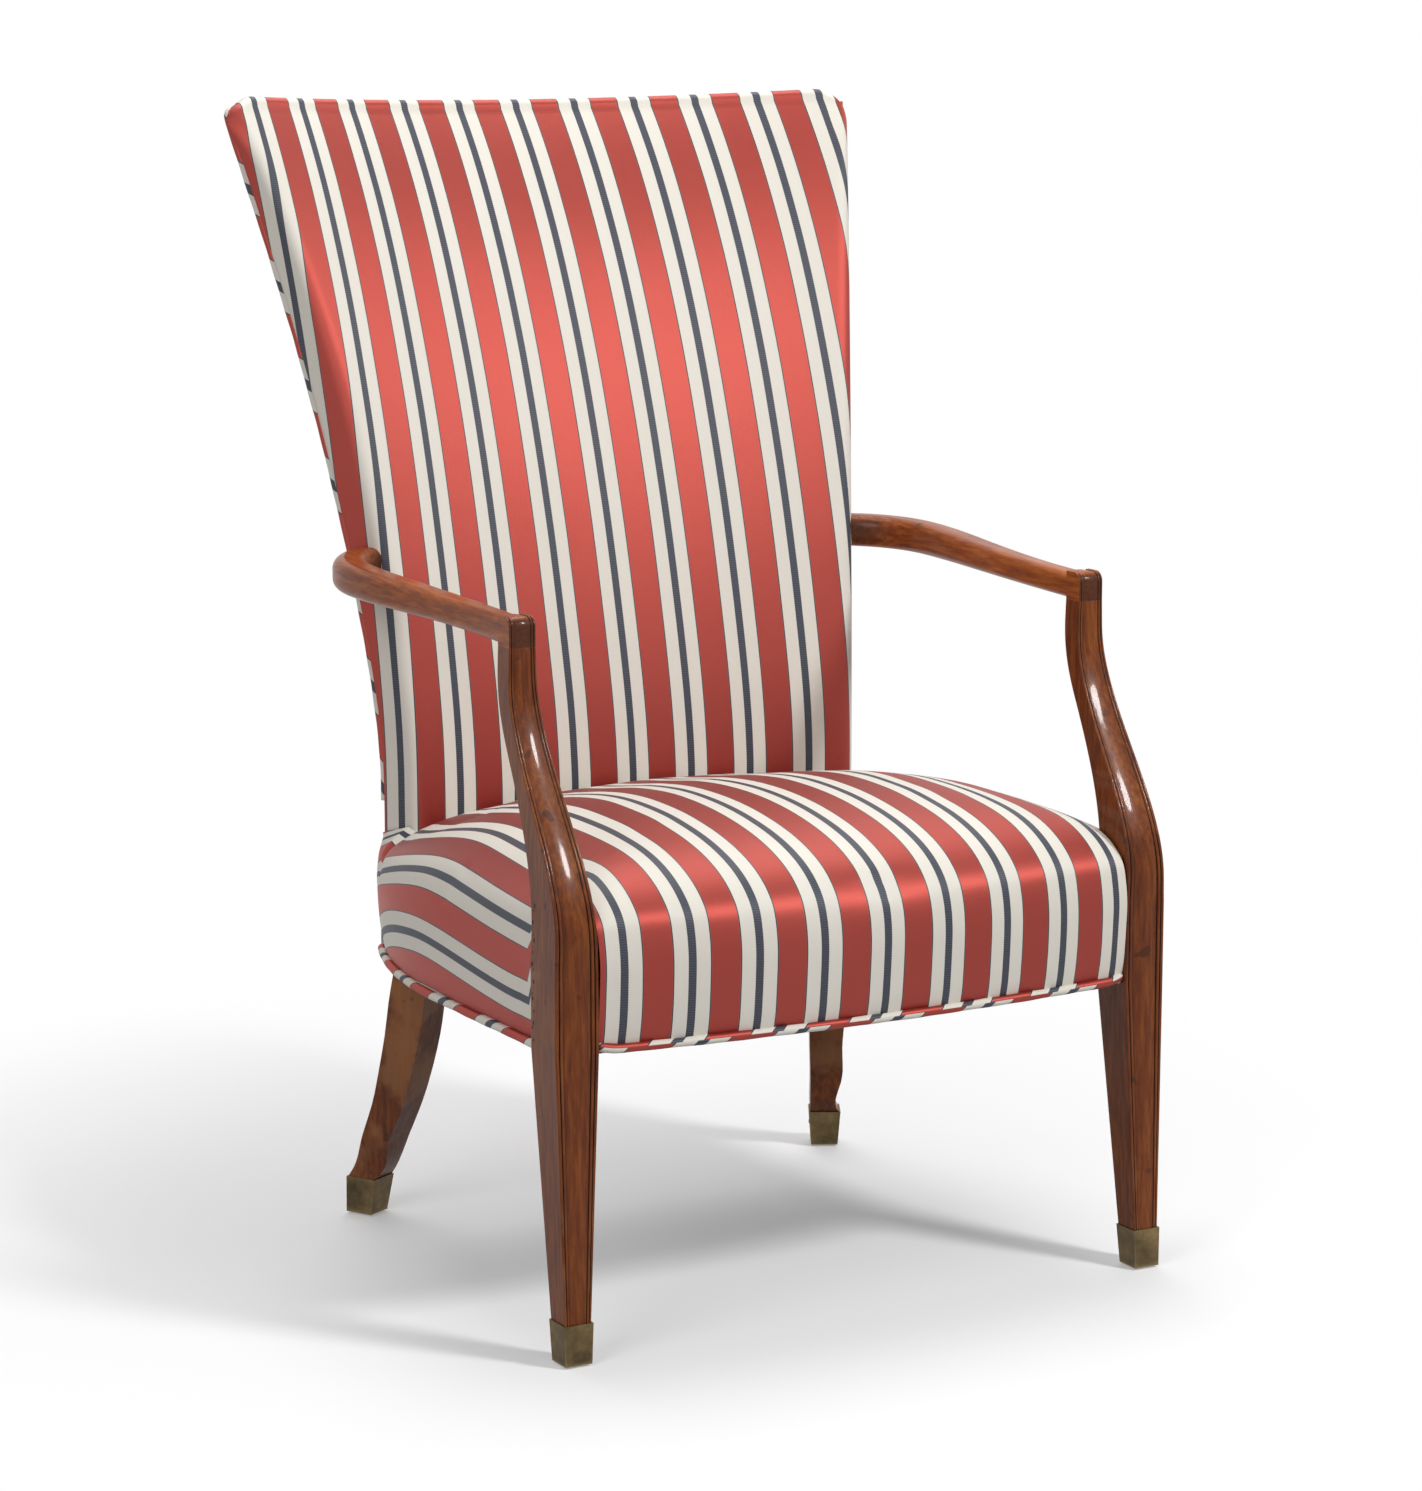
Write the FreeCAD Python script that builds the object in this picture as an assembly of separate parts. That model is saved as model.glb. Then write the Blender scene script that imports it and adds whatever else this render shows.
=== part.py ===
import FreeCAD, Part
import math
import os

# Lolling chair in millimetres. X runs across, Y to the back and Z up from the floor.
# Pieces are laid out with Y = 0 at the middle of the front feet. At the end the whole chair is moved
# so that the origin lies on the floor under its middle.

V = FreeCAD.Vector

# Front posts: leg and arm support in one piece, moulded on the front face
FRONT_WIDTH = 658.6          # over the outer faces of both posts at the seat
FRONT_LEG_WIDTH = 44.0
FRONT_LEG_DEPTH = 49.0
FRONT_FACE_Y = -6.4          # moulded face at the seat rails
FRONT_FOOT = 24.2            # square, at the floor
FRONT_FOOT_SET_IN = 5.7      # outer face of the foot, in from the outer face at the seat
POST_TOP_WIDTH = 27.0
POST_TOP_DEPTH = 23.0
POST_TOP_SET_IN = 7.8
POST_SWEEP = 102.5           # how far the arm support sweeps back
ARM_JOINT_HEIGHT = 644.0
REED_SHARE = 0.090           # width of one edge reed, as a share of the face
REED_DEPTH_SHARE = 0.041
POST_TENON = (14.0, 11.0, 15.0)

# Rear posts: sabre leg and back stile sawn in one, canted
CANT = math.radians(28.5)
STILE_WIDTH = 32.7
STILE_DEPTH = 26.5
REAR_LEG_DEPTH = 43.0
REAR_LEG_FLARE = 4.5         # the leg is this much wider than the stile, on its outer side
REAR_ANKLE_WIDTH = 31.0      # at the top of the brass cuff
REAR_ANKLE_DEPTH = 32.0
REAR_FOOT_WIDTH = 25.4
REAR_FOOT_DEPTH = 27.4
REAR_KICK = 70.3             # the foot stands this far behind the knee, in the plane of the post
REAR_SWEEP = 88.0            # curve of the sabre leg above the cuff
KNEE_HEIGHT = 290.0
STILE_START = 395.0          # the stile has its full set-back from here up

# Back: a concave barrel between the stiles
BACK_SET_IN = 80.2           # front edge of the upholstery, in from the widest line of the seat
BACK_EDGE_Y = 445.1
SEAT_LINE = 442.0
CREST_HEIGHT = 1125.0        # at the corners of the crest
CREST_DIP = 11.0
BACK_LEAN = 85.0             # straight part of the rake, over the whole back
BACK_CURVE = 117.0           # curved part of the rake
EASE = 0.15                  # share of the height over which the rake starts
CREST_ROLL = 25.0            # extra roll to the back at the crest
SAG_AT_SEAT = 18.0           # depth of the barrel
SAG_GROWTH = 47.0
SAG_ROLL = 21.0
BACK_THICKNESS = 47.0
CREST_THINNING = 32.0        # the back is this much thinner at the crest
BACK_RIM = 43.0              # the inside cover turns in here, ahead of the rear panel
BACK_PAD = 15.2              # from the cover's face to the frame
BACK_BOTTOM = 398.0
SIDE_PAD = 10.0              # from the cover's side to the stile
CREST_PAD = 35.0             # from the top of the frame to the crest
CREST_RAIL_HEIGHT = 70.0
PANEL_DROP = 12.0            # top of the rear panel below the crest
PANEL_INSET = 3.0
CAP_HEIGHT = 36.0
# Rolled crest: rise over the shoulder, and how far the front edge has rolled back there
CAP_STEPS = ((0.0, 0.0), (0.5, 1.5), (0.81, 6.0), (1.0, 15.0))
LOWER_RAIL_BOTTOM = 366.0
LOWER_RAIL_HEIGHT = 40.0

# Seat frame
RAIL_BOTTOM = 286.0
RAIL_HEIGHT = 66.0
RAIL_THICKNESS = 26.0
RAIL_INSET = 10.0            # rail's outer face, in from the widest line of the seat
TENON_LENGTH = 20.0
TENON_THICKNESS = 9.0
TENON_SHOULDER = 10.0
BLOCK_LEG = 74.0
BLOCK_HEIGHT = 38.0

# Seat upholstery: the widest line in plan, then levels of height and inset up to the crown
SEAT_SET_IN = 0.3            # widest line of the seat, in from the outer faces of the posts
SEAT_FRONT_Y = -27.0
SEAT_FRONT_BOW = 26.0
SIDE_STRAIGHT_Y = 250.0
SIDE_CURVE_RADIUS = 572.0
SEAT_REAR_Y = 478.0
SEAT_PROFILE = ((8.7, 7.0), (44.0, 2.0), (82.0, 0.0), (106.0, 3.5), (124.0, 11.0), (138.0, 26.0),
                (151.0, 48.0), (164.0, 90.0), (173.0, 142.0), (179.0, 205.0))
SEAT_FALL_Y = 250.0          # the crown starts to fall towards the back here
SEAT_FALL = 58.0
COVER = 1.5
BURLAP = 1.0
WEB_WIDTH = 50.0
WEB = 1.2
WELT_RADIUS = 4.4
DUST = 0.8

# Arms
ARM_WIDTH = 35.0             # at the elbow
ARM_HEIGHT = 33.0
ARM_BLOCK_HEIGHT = 28.0
ARM_RISE = 15.0
ARM_DROP = 1.5               # middle of the arm below the middle of its front block
ARM_BOW = 45.0
ARM_CORNER_SHARE = 0.36
ARM_BLOCK_ROUND = 10.0
# Shares along the arm: run, bow, width and height
ARM_PATH = ((0.0, 0.0, 0.77, 0.78), (0.18, 0.15, 0.80, 0.77), (0.373, 0.42, 0.87, 0.80),
            (0.567, 0.755, 0.94, 0.88), (0.723, 0.98, 0.98, 0.95), (0.826, 1.0, 1.0, 0.98),
            (0.915, 0.74, 1.0, 1.0), (0.975, 0.30, 0.98, 1.0), (1.06, -0.45, 0.97, 1.0))

# Feet and hardware
GLIDE = 2.0
GLIDE_RADIUS = 7.0
GLIDE_PIN_RADIUS = 1.5
GLIDE_PIN = 14.0
FERRULE_TOP = 40.0
FERRULE_WALL = 1.2
FERRULE_FLOOR = 1.5
FERRULE_PIN_RADIUS = 1.1
SCREW_RADIUS = 2.3
SCREW_HEAD_RADIUS = 4.4
SCREW_HEAD = 3.0
TACK_HEAD_RADIUS = 3.0
TACK_SHANK_RADIUS = 0.8
TACK_SHANK = 8.0

# Clearances
FIT = 0.2
GAP = 0.3
SOFT_GAP = 0.8

RAIL_TOP = RAIL_BOTTOM + RAIL_HEIGHT
SEAT_HALF_WIDTH = FRONT_WIDTH / 2 - SEAT_SET_IN
BACK_HALF_WIDTH = SEAT_HALF_WIDTH - BACK_SET_IN
FRAME_TOP = CREST_HEIGHT - CREST_PAD
PANEL_TOP = CREST_HEIGHT - PANEL_DROP
STRAIGHT_TOP = RAIL_TOP + 12.0
FOOT_Z = GLIDE + FERRULE_FLOOR
STILE_INNER = SIDE_PAD + STILE_WIDTH
BACK_DIR = V(math.sin(CANT), math.cos(CANT), 0)
OUT_DIR = V(math.cos(CANT), -math.sin(CANT), 0)
UP = V(0, 0, 1)


# Small helpers

def smooth(share):
    share = min(1.0, max(0.0, share))
    return share * share * (3 - 2 * share)


def blend(start, end, share):
    return start + (end - start) * share


def line(start, end):
    return Part.LineSegment(start, end).toShape()


def arc(start, middle, end):
    return Part.Arc(start, middle, end).toShape()


def polygon(points):
    return Part.makePolygon(list(points) + [points[0]])


def loft(wires, ruled=False):
    return Part.makeLoft(wires, True, ruled, False, 3)


def prism(points, height):
    return Part.Face(polygon(points)).extrude(V(0, 0, height))


def box(low, high):
    size = high - low
    return Part.makeBox(size.x, size.y, size.z, low)


def mirrored(shape):
    return shape.mirror(V(0, 0, 0), V(1, 0, 0))


def both(shape):
    return Part.makeCompound([shape, mirrored(shape)])


def cut_all(shape, tools):
    for tool in tools:
        shape = shape.cut(tool)
    return shape


# Front posts

def front_section(z):
    """Outer and inner X, front and back Y of the right front post at a height."""
    outer = FRONT_WIDTH / 2
    if z <= RAIL_BOTTOM:
        share = z / RAIL_BOTTOM
        outer -= FRONT_FOOT_SET_IN * (1 - share)
        width = blend(FRONT_FOOT, FRONT_LEG_WIDTH, share)
        front = blend(-FRONT_FOOT / 2, FRONT_FACE_Y, share)
        depth = blend(FRONT_FOOT, FRONT_LEG_DEPTH, share)
    else:
        rise = max(0.0, (z - STRAIGHT_TOP) / (ARM_JOINT_HEIGHT - STRAIGHT_TOP))
        outer -= POST_TOP_SET_IN * rise
        width = blend(FRONT_LEG_WIDTH, POST_TOP_WIDTH, rise)
        front = FRONT_FACE_Y + POST_SWEEP * smooth((rise - 0.09) / 0.82)
        depth = blend(FRONT_LEG_DEPTH, POST_TOP_DEPTH, smooth((rise - 0.06) / 0.6))
    return outer, outer - width, front, front + depth


def moulded_wire(z, behind=None):
    """Section of the post: two reeds at each edge of the front face and a broad round between them."""
    outer, inner, front, back = front_section(z)
    width = outer - inner
    reed = REED_SHARE * width
    valley = front + REED_DEPTH_SHARE * width
    stops = [outer, outer - reed, outer - 2 * reed, inner + 2 * reed, inner + reed, inner]
    back = behind or back
    edges = [line(V(outer, back, z), V(outer, valley, z))]
    for start, end in zip(stops, stops[1:]):
        edges.append(arc(V(start, valley, z), V((start + end) / 2, front, z), V(end, valley, z)))
    edges.append(line(V(inner, valley, z), V(inner, back, z)))
    edges.append(line(V(inner, back, z), V(outer, back, z)))
    return Part.Wire(edges)


def post_tenon(clearance):
    outer, inner, front, back = front_section(ARM_JOINT_HEIGHT)
    middle = V((outer + inner) / 2, (front + back) / 2, ARM_JOINT_HEIGHT)
    half = V(POST_TENON[0] / 2 + clearance, POST_TENON[1] / 2 + clearance, 0)
    return box(middle - half, middle + half + V(0, 0, POST_TENON[2] + clearance))


def front_post():
    leg = loft([moulded_wire(z) for z in (FOOT_Z, RAIL_BOTTOM, STRAIGHT_TOP)], ruled=True)
    steps = (0.0, 0.1, 0.2, 0.3, 0.4, 0.5, 0.6, 0.7, 0.8, 0.9, 1.0)
    support = loft([moulded_wire(blend(STRAIGHT_TOP, ARM_JOINT_HEIGHT, step)) for step in steps])
    return leg.fuse([support, post_tenon(0)])


# The barrel of the back and everything that follows it

def back_rise(z):
    return max(0.0, (z - SEAT_LINE) / (CREST_HEIGHT - SEAT_LINE))


def back_edge(z):
    """Front edge of the right side of the upholstered back."""
    rise = back_rise(z)
    eased = rise - EASE / 2 if rise > EASE else rise * rise / (2 * EASE)
    edge = V(BACK_HALF_WIDTH, BACK_EDGE_Y, z)
    return edge + BACK_DIR * (BACK_LEAN * eased + BACK_CURVE * rise ** 2 + CREST_ROLL * rise ** 6)


def back_sag(z):
    rise = back_rise(z)
    return SAG_AT_SEAT + SAG_GROWTH * rise + SAG_ROLL * rise ** 5


def canted(z, depth, inset):
    """A point by its depth behind the cover's face and its inset from the cover's side."""
    return back_edge(z) + BACK_DIR * depth - OUT_DIR * inset


def thinned(z, depth):
    """A depth behind the cover's face, less the thinning of the back towards the crest."""
    share = min(1.0, max(0.0, (depth - 2 * COVER) / (BACK_RIM - 2 * COVER)))
    return depth - CREST_THINNING * share * back_rise(z) ** 6


def barrel_circle(z, depth):
    """Centre Y and radius of the barrel at a depth behind the cover's face."""
    depth = thinned(z, depth)
    edge = canted(z, depth, 0)
    middle_y = back_edge(z).y + back_sag(z) + depth
    sag = middle_y - edge.y
    radius = (edge.x ** 2 + sag ** 2) / (2 * sag)
    return middle_y - radius, radius


def barrel_point(x, z, depth):
    centre_y, radius = barrel_circle(z, depth)
    return V(x, centre_y + math.sqrt(radius * radius - x * x), z)


def barrel_reach(z, depth, inset):
    """Depth, along the plane at an inset from the cover's side, where the barrel meets that plane."""
    centre_y, radius = barrel_circle(z, depth)
    start = canted(z, 0, inset) - V(0, centre_y, z)
    lead = start.dot(BACK_DIR)
    return math.sqrt(lead * lead - start.dot(start) + radius * radius) - lead


def dished_point(z, point):
    """Tilts the sections near the crest, so that the middle of the crest dips."""
    tilt = CREST_DIP / (SAG_AT_SEAT + SAG_GROWTH + SAG_ROLL) * back_rise(z) ** 3
    return V(point.x, point.y, z - tilt * (point.y - back_edge(z).y))


def back_wire(z, ahead, behind, inset, dished=False):
    """Closed section of the barrel between two depths."""

    def place(point):
        return dished_point(z, point) if dished else point

    def flip(point):
        return V(-point.x, point.y, point.z)

    front = place(canted(z, barrel_reach(z, ahead, inset), inset))
    rear = place(canted(z, barrel_reach(z, behind, inset), inset))
    front_middle = place(barrel_point(0, z, ahead))
    rear_middle = place(barrel_point(0, z, behind))
    return Part.Wire([arc(flip(front), front_middle, front), line(front, rear),
                      arc(rear, rear_middle, flip(rear)), line(flip(rear), flip(front))])


def levels(low, high, count):
    return [blend(low, high, step / (count - 1)) for step in range(count)]


def back_levels(low, high):
    """Heights of the sections of a layer of the back, the same ones in every layer."""
    shared = levels(RAIL_BOTTOM, SEAT_LINE, 4)[:-1] + levels(SEAT_LINE, CREST_HEIGHT, 13)
    return [low] + [z for z in shared if low + 8 < z < high - 8] + [high]


def barrel(low, high, ahead, behind, inset, dished=False):
    wires = [back_wire(z, ahead, behind, inset, dished) for z in back_levels(low, high)]
    return loft(wires)


def back_body(shrink, bottom, behind):
    """Outer form of the upholstered back: a barrel under a rolled crest."""
    shoulder = CREST_HEIGHT - CAP_HEIGHT - shrink
    wires = [back_wire(z, shrink, behind, shrink, True) for z in back_levels(bottom, shoulder)]
    for rise, roll in CAP_STEPS[1:]:
        wires.append(back_wire(shoulder + CAP_HEIGHT * rise, shrink + roll, behind, shrink + 0.6 * roll, True))
    return loft(wires)


def rear_faces(z):
    """Depths of the front and back faces of the rear post below the back."""
    knee_back = BACK_PAD + STILE_DEPTH
    middle = knee_back - REAR_LEG_DEPTH / 2
    if z >= FERRULE_TOP:
        middle += REAR_SWEEP * max(0.0, 1 - z / KNEE_HEIGHT) ** 2
        rise = (z - FERRULE_TOP) / (0.7 * KNEE_HEIGHT - FERRULE_TOP)
        depth = blend(REAR_ANKLE_DEPTH, REAR_LEG_DEPTH, min(1.0, rise))
    else:
        ankle = REAR_SWEEP * (1 - FERRULE_TOP / KNEE_HEIGHT) ** 2
        middle += blend(REAR_KICK, ankle, z / FERRULE_TOP)
        depth = blend(REAR_FOOT_DEPTH, REAR_ANKLE_DEPTH, z / FERRULE_TOP)
    return middle - depth / 2, middle + depth / 2


def rear_sides(z):
    """Insets of the outer and inner faces of the rear post."""
    inner = STILE_INNER
    outer = SIDE_PAD - REAR_LEG_FLARE * (1 - smooth((z - 0.8 * RAIL_BOTTOM) / (0.2 * RAIL_BOTTOM)))
    if z >= FERRULE_TOP:
        rise = smooth((z - FERRULE_TOP) / (0.45 * KNEE_HEIGHT))
        taper = blend(inner - outer - REAR_ANKLE_WIDTH, 0.0, rise)
    else:
        width = blend(REAR_FOOT_WIDTH, REAR_ANKLE_WIDTH, z / FERRULE_TOP)
        taper = inner - outer - width
    return outer + taper / 2, inner - taper / 2


def rear_corners(z, grow=0.0):
    """Section of the rear post: square at the foot, following the barrel of the back higher up."""
    ahead, behind = rear_faces(z)
    outer, inner = rear_sides(z)
    inside = smooth((z - FERRULE_TOP) / (RAIL_BOTTOM - FERRULE_TOP))
    outside = smooth((z - 0.8 * RAIL_BOTTOM) / (0.2 * RAIL_BOTTOM))
    above_knee = smooth((z - KNEE_HEIGHT) / (STILE_START - KNEE_HEIGHT))
    outer_back = blend(behind, barrel_reach(z, BACK_PAD + STILE_DEPTH, outer), outside)
    inner_back = blend(behind, barrel_reach(z, BACK_PAD + STILE_DEPTH, inner), inside)
    outer_front = blend(ahead, barrel_reach(z, BACK_PAD, outer), above_knee)
    inner_front = blend(ahead, barrel_reach(z, BACK_PAD, inner), above_knee)
    return [canted(z, outer_front - grow, outer - grow), canted(z, outer_back + grow, outer - grow),
            canted(z, inner_back + grow, inner + grow), canted(z, inner_front - grow, inner + grow)]


def rear_post():
    foot = loft([polygon(rear_corners(z)) for z in (FOOT_Z, FERRULE_TOP)], ruled=True)
    heights = levels(FERRULE_TOP, KNEE_HEIGHT, 8) + levels(KNEE_HEIGHT, STILE_START, 4)[1:]
    heights += back_levels(STILE_START, FRAME_TOP)[1:]
    return foot.fuse(loft([polygon(rear_corners(z)) for z in heights]))


def canted_block(low, high, ahead, behind, inner, outer):
    """A block in the plane of the right rear post, following its rake."""
    wires = []
    for z in levels(low, high, 2):
        wires.append(polygon([canted(z, ahead, outer), canted(z, behind, outer),
                              canted(z, behind, inner), canted(z, ahead, inner)]))
    return loft(wires, ruled=True)


def cross_rail_tenon(low, high, clearance):
    """Tenon of a cross rail of the back in the inner face of the stile."""
    z = (low + high) / 2
    middle = barrel_reach(z, BACK_PAD + STILE_DEPTH / 2, STILE_INNER)
    half = TENON_THICKNESS / 2 + clearance
    return canted_block(low + TENON_SHOULDER - clearance, high - TENON_SHOULDER + clearance,
                        middle - half, middle + half, STILE_INNER + clearance,
                        STILE_INNER - TENON_LENGTH - clearance)


def cross_rail(low, high, ahead, behind):
    body = barrel(low, high, ahead, behind, STILE_INNER)
    tenon = cross_rail_tenon(low, high, 0)
    return body.fuse([tenon, mirrored(tenon)])


CROSS_RAILS = ((FRAME_TOP - CREST_RAIL_HEIGHT, FRAME_TOP),
               (LOWER_RAIL_BOTTOM, LOWER_RAIL_BOTTOM + LOWER_RAIL_HEIGHT),
               (RAIL_BOTTOM, RAIL_TOP))


# Seat frame and seat form

def side_curve(inset, angle):
    centre_x = SEAT_HALF_WIDTH - SIDE_CURVE_RADIUS
    radius = SIDE_CURVE_RADIUS - inset
    return centre_x + radius * math.cos(angle), SIDE_STRAIGHT_Y + radius * math.sin(angle)


def side_angle(inset, y):
    return math.asin((y - SIDE_STRAIGHT_Y) / (SIDE_CURVE_RADIUS - inset))


def seat_wire(z, inset):
    """Plan outline of the seat at a level: bowed front, straight sides that curve in at the rear."""
    side = SEAT_HALF_WIDTH - inset
    corner_y = SEAT_FRONT_Y + SEAT_FRONT_BOW + inset
    angle = side_angle(inset, SEAT_REAR_Y)
    half_x, half_y = side_curve(inset, angle / 2)
    rear_x, rear_y = side_curve(inset, angle)
    edges = [arc(V(-side, corner_y, z), V(0, SEAT_FRONT_Y + inset, z), V(side, corner_y, z)),
             line(V(side, corner_y, z), V(side, SIDE_STRAIGHT_Y, z)),
             arc(V(side, SIDE_STRAIGHT_Y, z), V(half_x, half_y, z), V(rear_x, rear_y, z)),
             line(V(rear_x, rear_y, z), V(-rear_x, rear_y, z)),
             arc(V(-rear_x, rear_y, z), V(-half_x, half_y, z), V(-side, SIDE_STRAIGHT_Y, z)),
             line(V(-side, SIDE_STRAIGHT_Y, z), V(-side, corner_y, z))]
    return Part.Wire(edges)


def seat_plate(low, high, inset):
    return Part.Face(seat_wire(low, inset)).extrude(V(0, 0, high - low))


def seat_front_y(x, inset):
    """Y of the bowed front line at a distance from the middle."""
    half = SEAT_HALF_WIDTH
    radius = (half * half + SEAT_FRONT_BOW ** 2) / (2 * SEAT_FRONT_BOW) - inset
    return SEAT_FRONT_Y + inset + radius - math.sqrt(radius * radius - x * x)


def seat_body(shrink, drop):
    """Crowned outer form of the seat, before the posts and the back are cut out of it."""
    wires = []
    widest = min(SEAT_PROFILE, key=lambda level: level[1])[0]
    shoulder = len(SEAT_PROFILE) // 2
    for index, (height, inset) in enumerate(SEAT_PROFILE):
        z = RAIL_BOTTOM + height
        if index == 0:
            z -= drop
        if height > widest:
            z -= shrink
        wires.append(seat_wire(z, inset + shrink))
    top = RAIL_BOTTOM + SEAT_PROFILE[-1][0] + 4 - shrink
    far = SEAT_REAR_Y + 60
    front = SEAT_FRONT_Y - 40
    middle_y = (SEAT_FALL_Y + far) / 2
    low = RAIL_BOTTOM - 40
    side = 2 * SEAT_HALF_WIDTH
    profile = Part.Wire([
        line(V(-side, front, low), V(-side, front, top)),
        line(V(-side, front, top), V(-side, SEAT_FALL_Y, top)),
        arc(V(-side, SEAT_FALL_Y, top), V(-side, middle_y, top - 0.27 * SEAT_FALL),
            V(-side, far, top - SEAT_FALL)),
        line(V(-side, far, top - SEAT_FALL), V(-side, far, low)),
        line(V(-side, far, low), V(-side, front, low))])
    form = loft(wires[:shoulder]).fuse(loft(wires[shoulder - 1:]))
    return form.common(Part.Face(profile).extrude(V(2 * side, 0, 0)))


def corner_notch(clearance):
    """Room for the right front post up to the crown of the seat."""
    outer, inner, front, back = front_section(RAIL_TOP)
    crown = RAIL_BOTTOM + SEAT_PROFILE[-1][0]
    reach = max(front_section(z)[3] for z in levels(RAIL_BOTTOM, crown - 30, 8))
    return box(V(inner - clearance, SEAT_FRONT_Y - 80, RAIL_BOTTOM - 60),
               V(outer + 80, reach + clearance, crown + 60))


def back_notch(clearance):
    """Room for the back, behind the front face of its upholstery."""
    low = RAIL_BOTTOM - 60
    out = 2.0 + clearance
    near = canted(low, -clearance, -out)
    far = canted(low, 3 * BACK_THICKNESS, -out)
    middle = V(0, BACK_EDGE_Y + SAG_AT_SEAT - clearance, low)
    flip_near = V(-near.x, near.y, low)
    flip_far = V(-far.x, far.y, low)
    outline = Part.Wire([arc(flip_near, middle, near), line(near, far), line(far, flip_far),
                         line(flip_far, flip_near)])
    return Part.Face(outline).extrude(V(0, 0, CREST_HEIGHT))


def seat_cuts(clearance):
    notch = corner_notch(clearance)
    return [notch, mirrored(notch), back_notch(clearance)]


def front_rail_tenon(clearance):
    inner = front_section(RAIL_TOP)[1]
    middle = seat_front_y(inner, RAIL_INSET) + RAIL_THICKNESS / 2
    half = TENON_THICKNESS / 2 + clearance
    return box(V(inner - clearance, middle - half, RAIL_BOTTOM + TENON_SHOULDER - clearance),
               V(inner + TENON_LENGTH + clearance, middle + half, RAIL_TOP - TENON_SHOULDER + clearance))


def front_rail():
    inner = front_section(RAIL_TOP)[1]
    end_y = seat_front_y(inner, RAIL_INSET)
    z = RAIL_BOTTOM
    rear_y = end_y + RAIL_THICKNESS
    outline = Part.Wire([
        arc(V(-inner, end_y, z), V(0, SEAT_FRONT_Y + RAIL_INSET, z), V(inner, end_y, z)),
        line(V(inner, end_y, z), V(inner, rear_y, z)),
        line(V(inner, rear_y, z), V(-inner, rear_y, z)),
        line(V(-inner, rear_y, z), V(-inner, end_y, z))])
    tenon = front_rail_tenon(0)
    return Part.Face(outline).extrude(V(0, 0, RAIL_HEIGHT)).fuse([tenon, mirrored(tenon)])


def side_rail_front_tenon(clearance):
    back = front_section(RAIL_TOP)[3]
    middle = SEAT_HALF_WIDTH - RAIL_INSET - RAIL_THICKNESS / 2
    half = TENON_THICKNESS / 2 + clearance
    return box(V(middle - half, back - TENON_LENGTH - clearance, RAIL_BOTTOM + TENON_SHOULDER - clearance),
               V(middle + half, back + clearance, RAIL_TOP - TENON_SHOULDER + clearance))


def side_rail_rear_tenon(clearance):
    ahead, behind = rear_faces(RAIL_TOP)
    middle = (ahead + behind) / 2
    half = TENON_THICKNESS / 2 + clearance
    return canted_block(RAIL_BOTTOM + TENON_SHOULDER - clearance, RAIL_TOP - TENON_SHOULDER + clearance,
                        middle - half, middle + half, SIDE_PAD + 0.7 * TENON_LENGTH + clearance,
                        SIDE_PAD - clearance)


def side_rail():
    """Right side rail: straight behind the front post, then curved in to the canted rear post."""
    back = front_section(RAIL_TOP)[3]
    outer = SEAT_HALF_WIDTH - RAIL_INSET
    inner = outer - RAIL_THICKNESS
    z = RAIL_BOTTOM
    last = side_angle(RAIL_INSET, SEAT_REAR_Y + 40)

    def curve(inset, share):
        x, y = side_curve(inset, last * share)
        return V(x, y, z)

    deep = RAIL_INSET + RAIL_THICKNESS
    outline = Part.Wire([
        line(V(outer, back, z), V(outer, SIDE_STRAIGHT_Y, z)),
        arc(V(outer, SIDE_STRAIGHT_Y, z), curve(RAIL_INSET, 0.5), curve(RAIL_INSET, 1)),
        line(curve(RAIL_INSET, 1), curve(deep, 1)),
        arc(curve(deep, 1), curve(deep, 0.5), V(inner, SIDE_STRAIGHT_Y, z)),
        line(V(inner, SIDE_STRAIGHT_Y, z), V(inner, back, z)),
        line(V(inner, back, z), V(outer, back, z))])
    body = Part.Face(outline).extrude(V(0, 0, RAIL_HEIGHT))
    far = SEAT_HALF_WIDTH
    beyond = canted_block(z - 5, RAIL_TOP + 5, -far, far, far, SIDE_PAD)
    panel_side = canted_block(z - 5, RAIL_TOP + 5, BACK_RIM - GAP, far, far, -far)
    return body.cut(beyond).cut(panel_side).fuse([side_rail_front_tenon(0), side_rail_rear_tenon(0)])


def corner_block():
    """Triangular glue block behind the right front post."""
    outer, inner, front, back = front_section(RAIL_TOP)
    corner_x = SEAT_HALF_WIDTH - RAIL_INSET - RAIL_THICKNESS
    corner_y = seat_front_y(inner, RAIL_INSET) + RAIL_THICKNESS
    z = RAIL_BOTTOM + (RAIL_HEIGHT - BLOCK_HEIGHT) / 2
    block = prism([V(corner_x, corner_y, z), V(corner_x, corner_y + BLOCK_LEG, z),
                   V(corner_x - BLOCK_LEG, corner_y, z)], BLOCK_HEIGHT)
    return block.cut(box(V(inner - GAP, front - 10, 0), V(outer + 10, back + GAP, CREST_HEIGHT)))


def screw(start, direction, length):
    """Countersunk screw whose head starts at a point."""
    cone = Part.makeCone(SCREW_HEAD_RADIUS, SCREW_RADIUS, SCREW_HEAD, start, direction)
    return cone.fuse(Part.makeCylinder(SCREW_RADIUS, length, start, direction)).removeSplitter()


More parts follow.
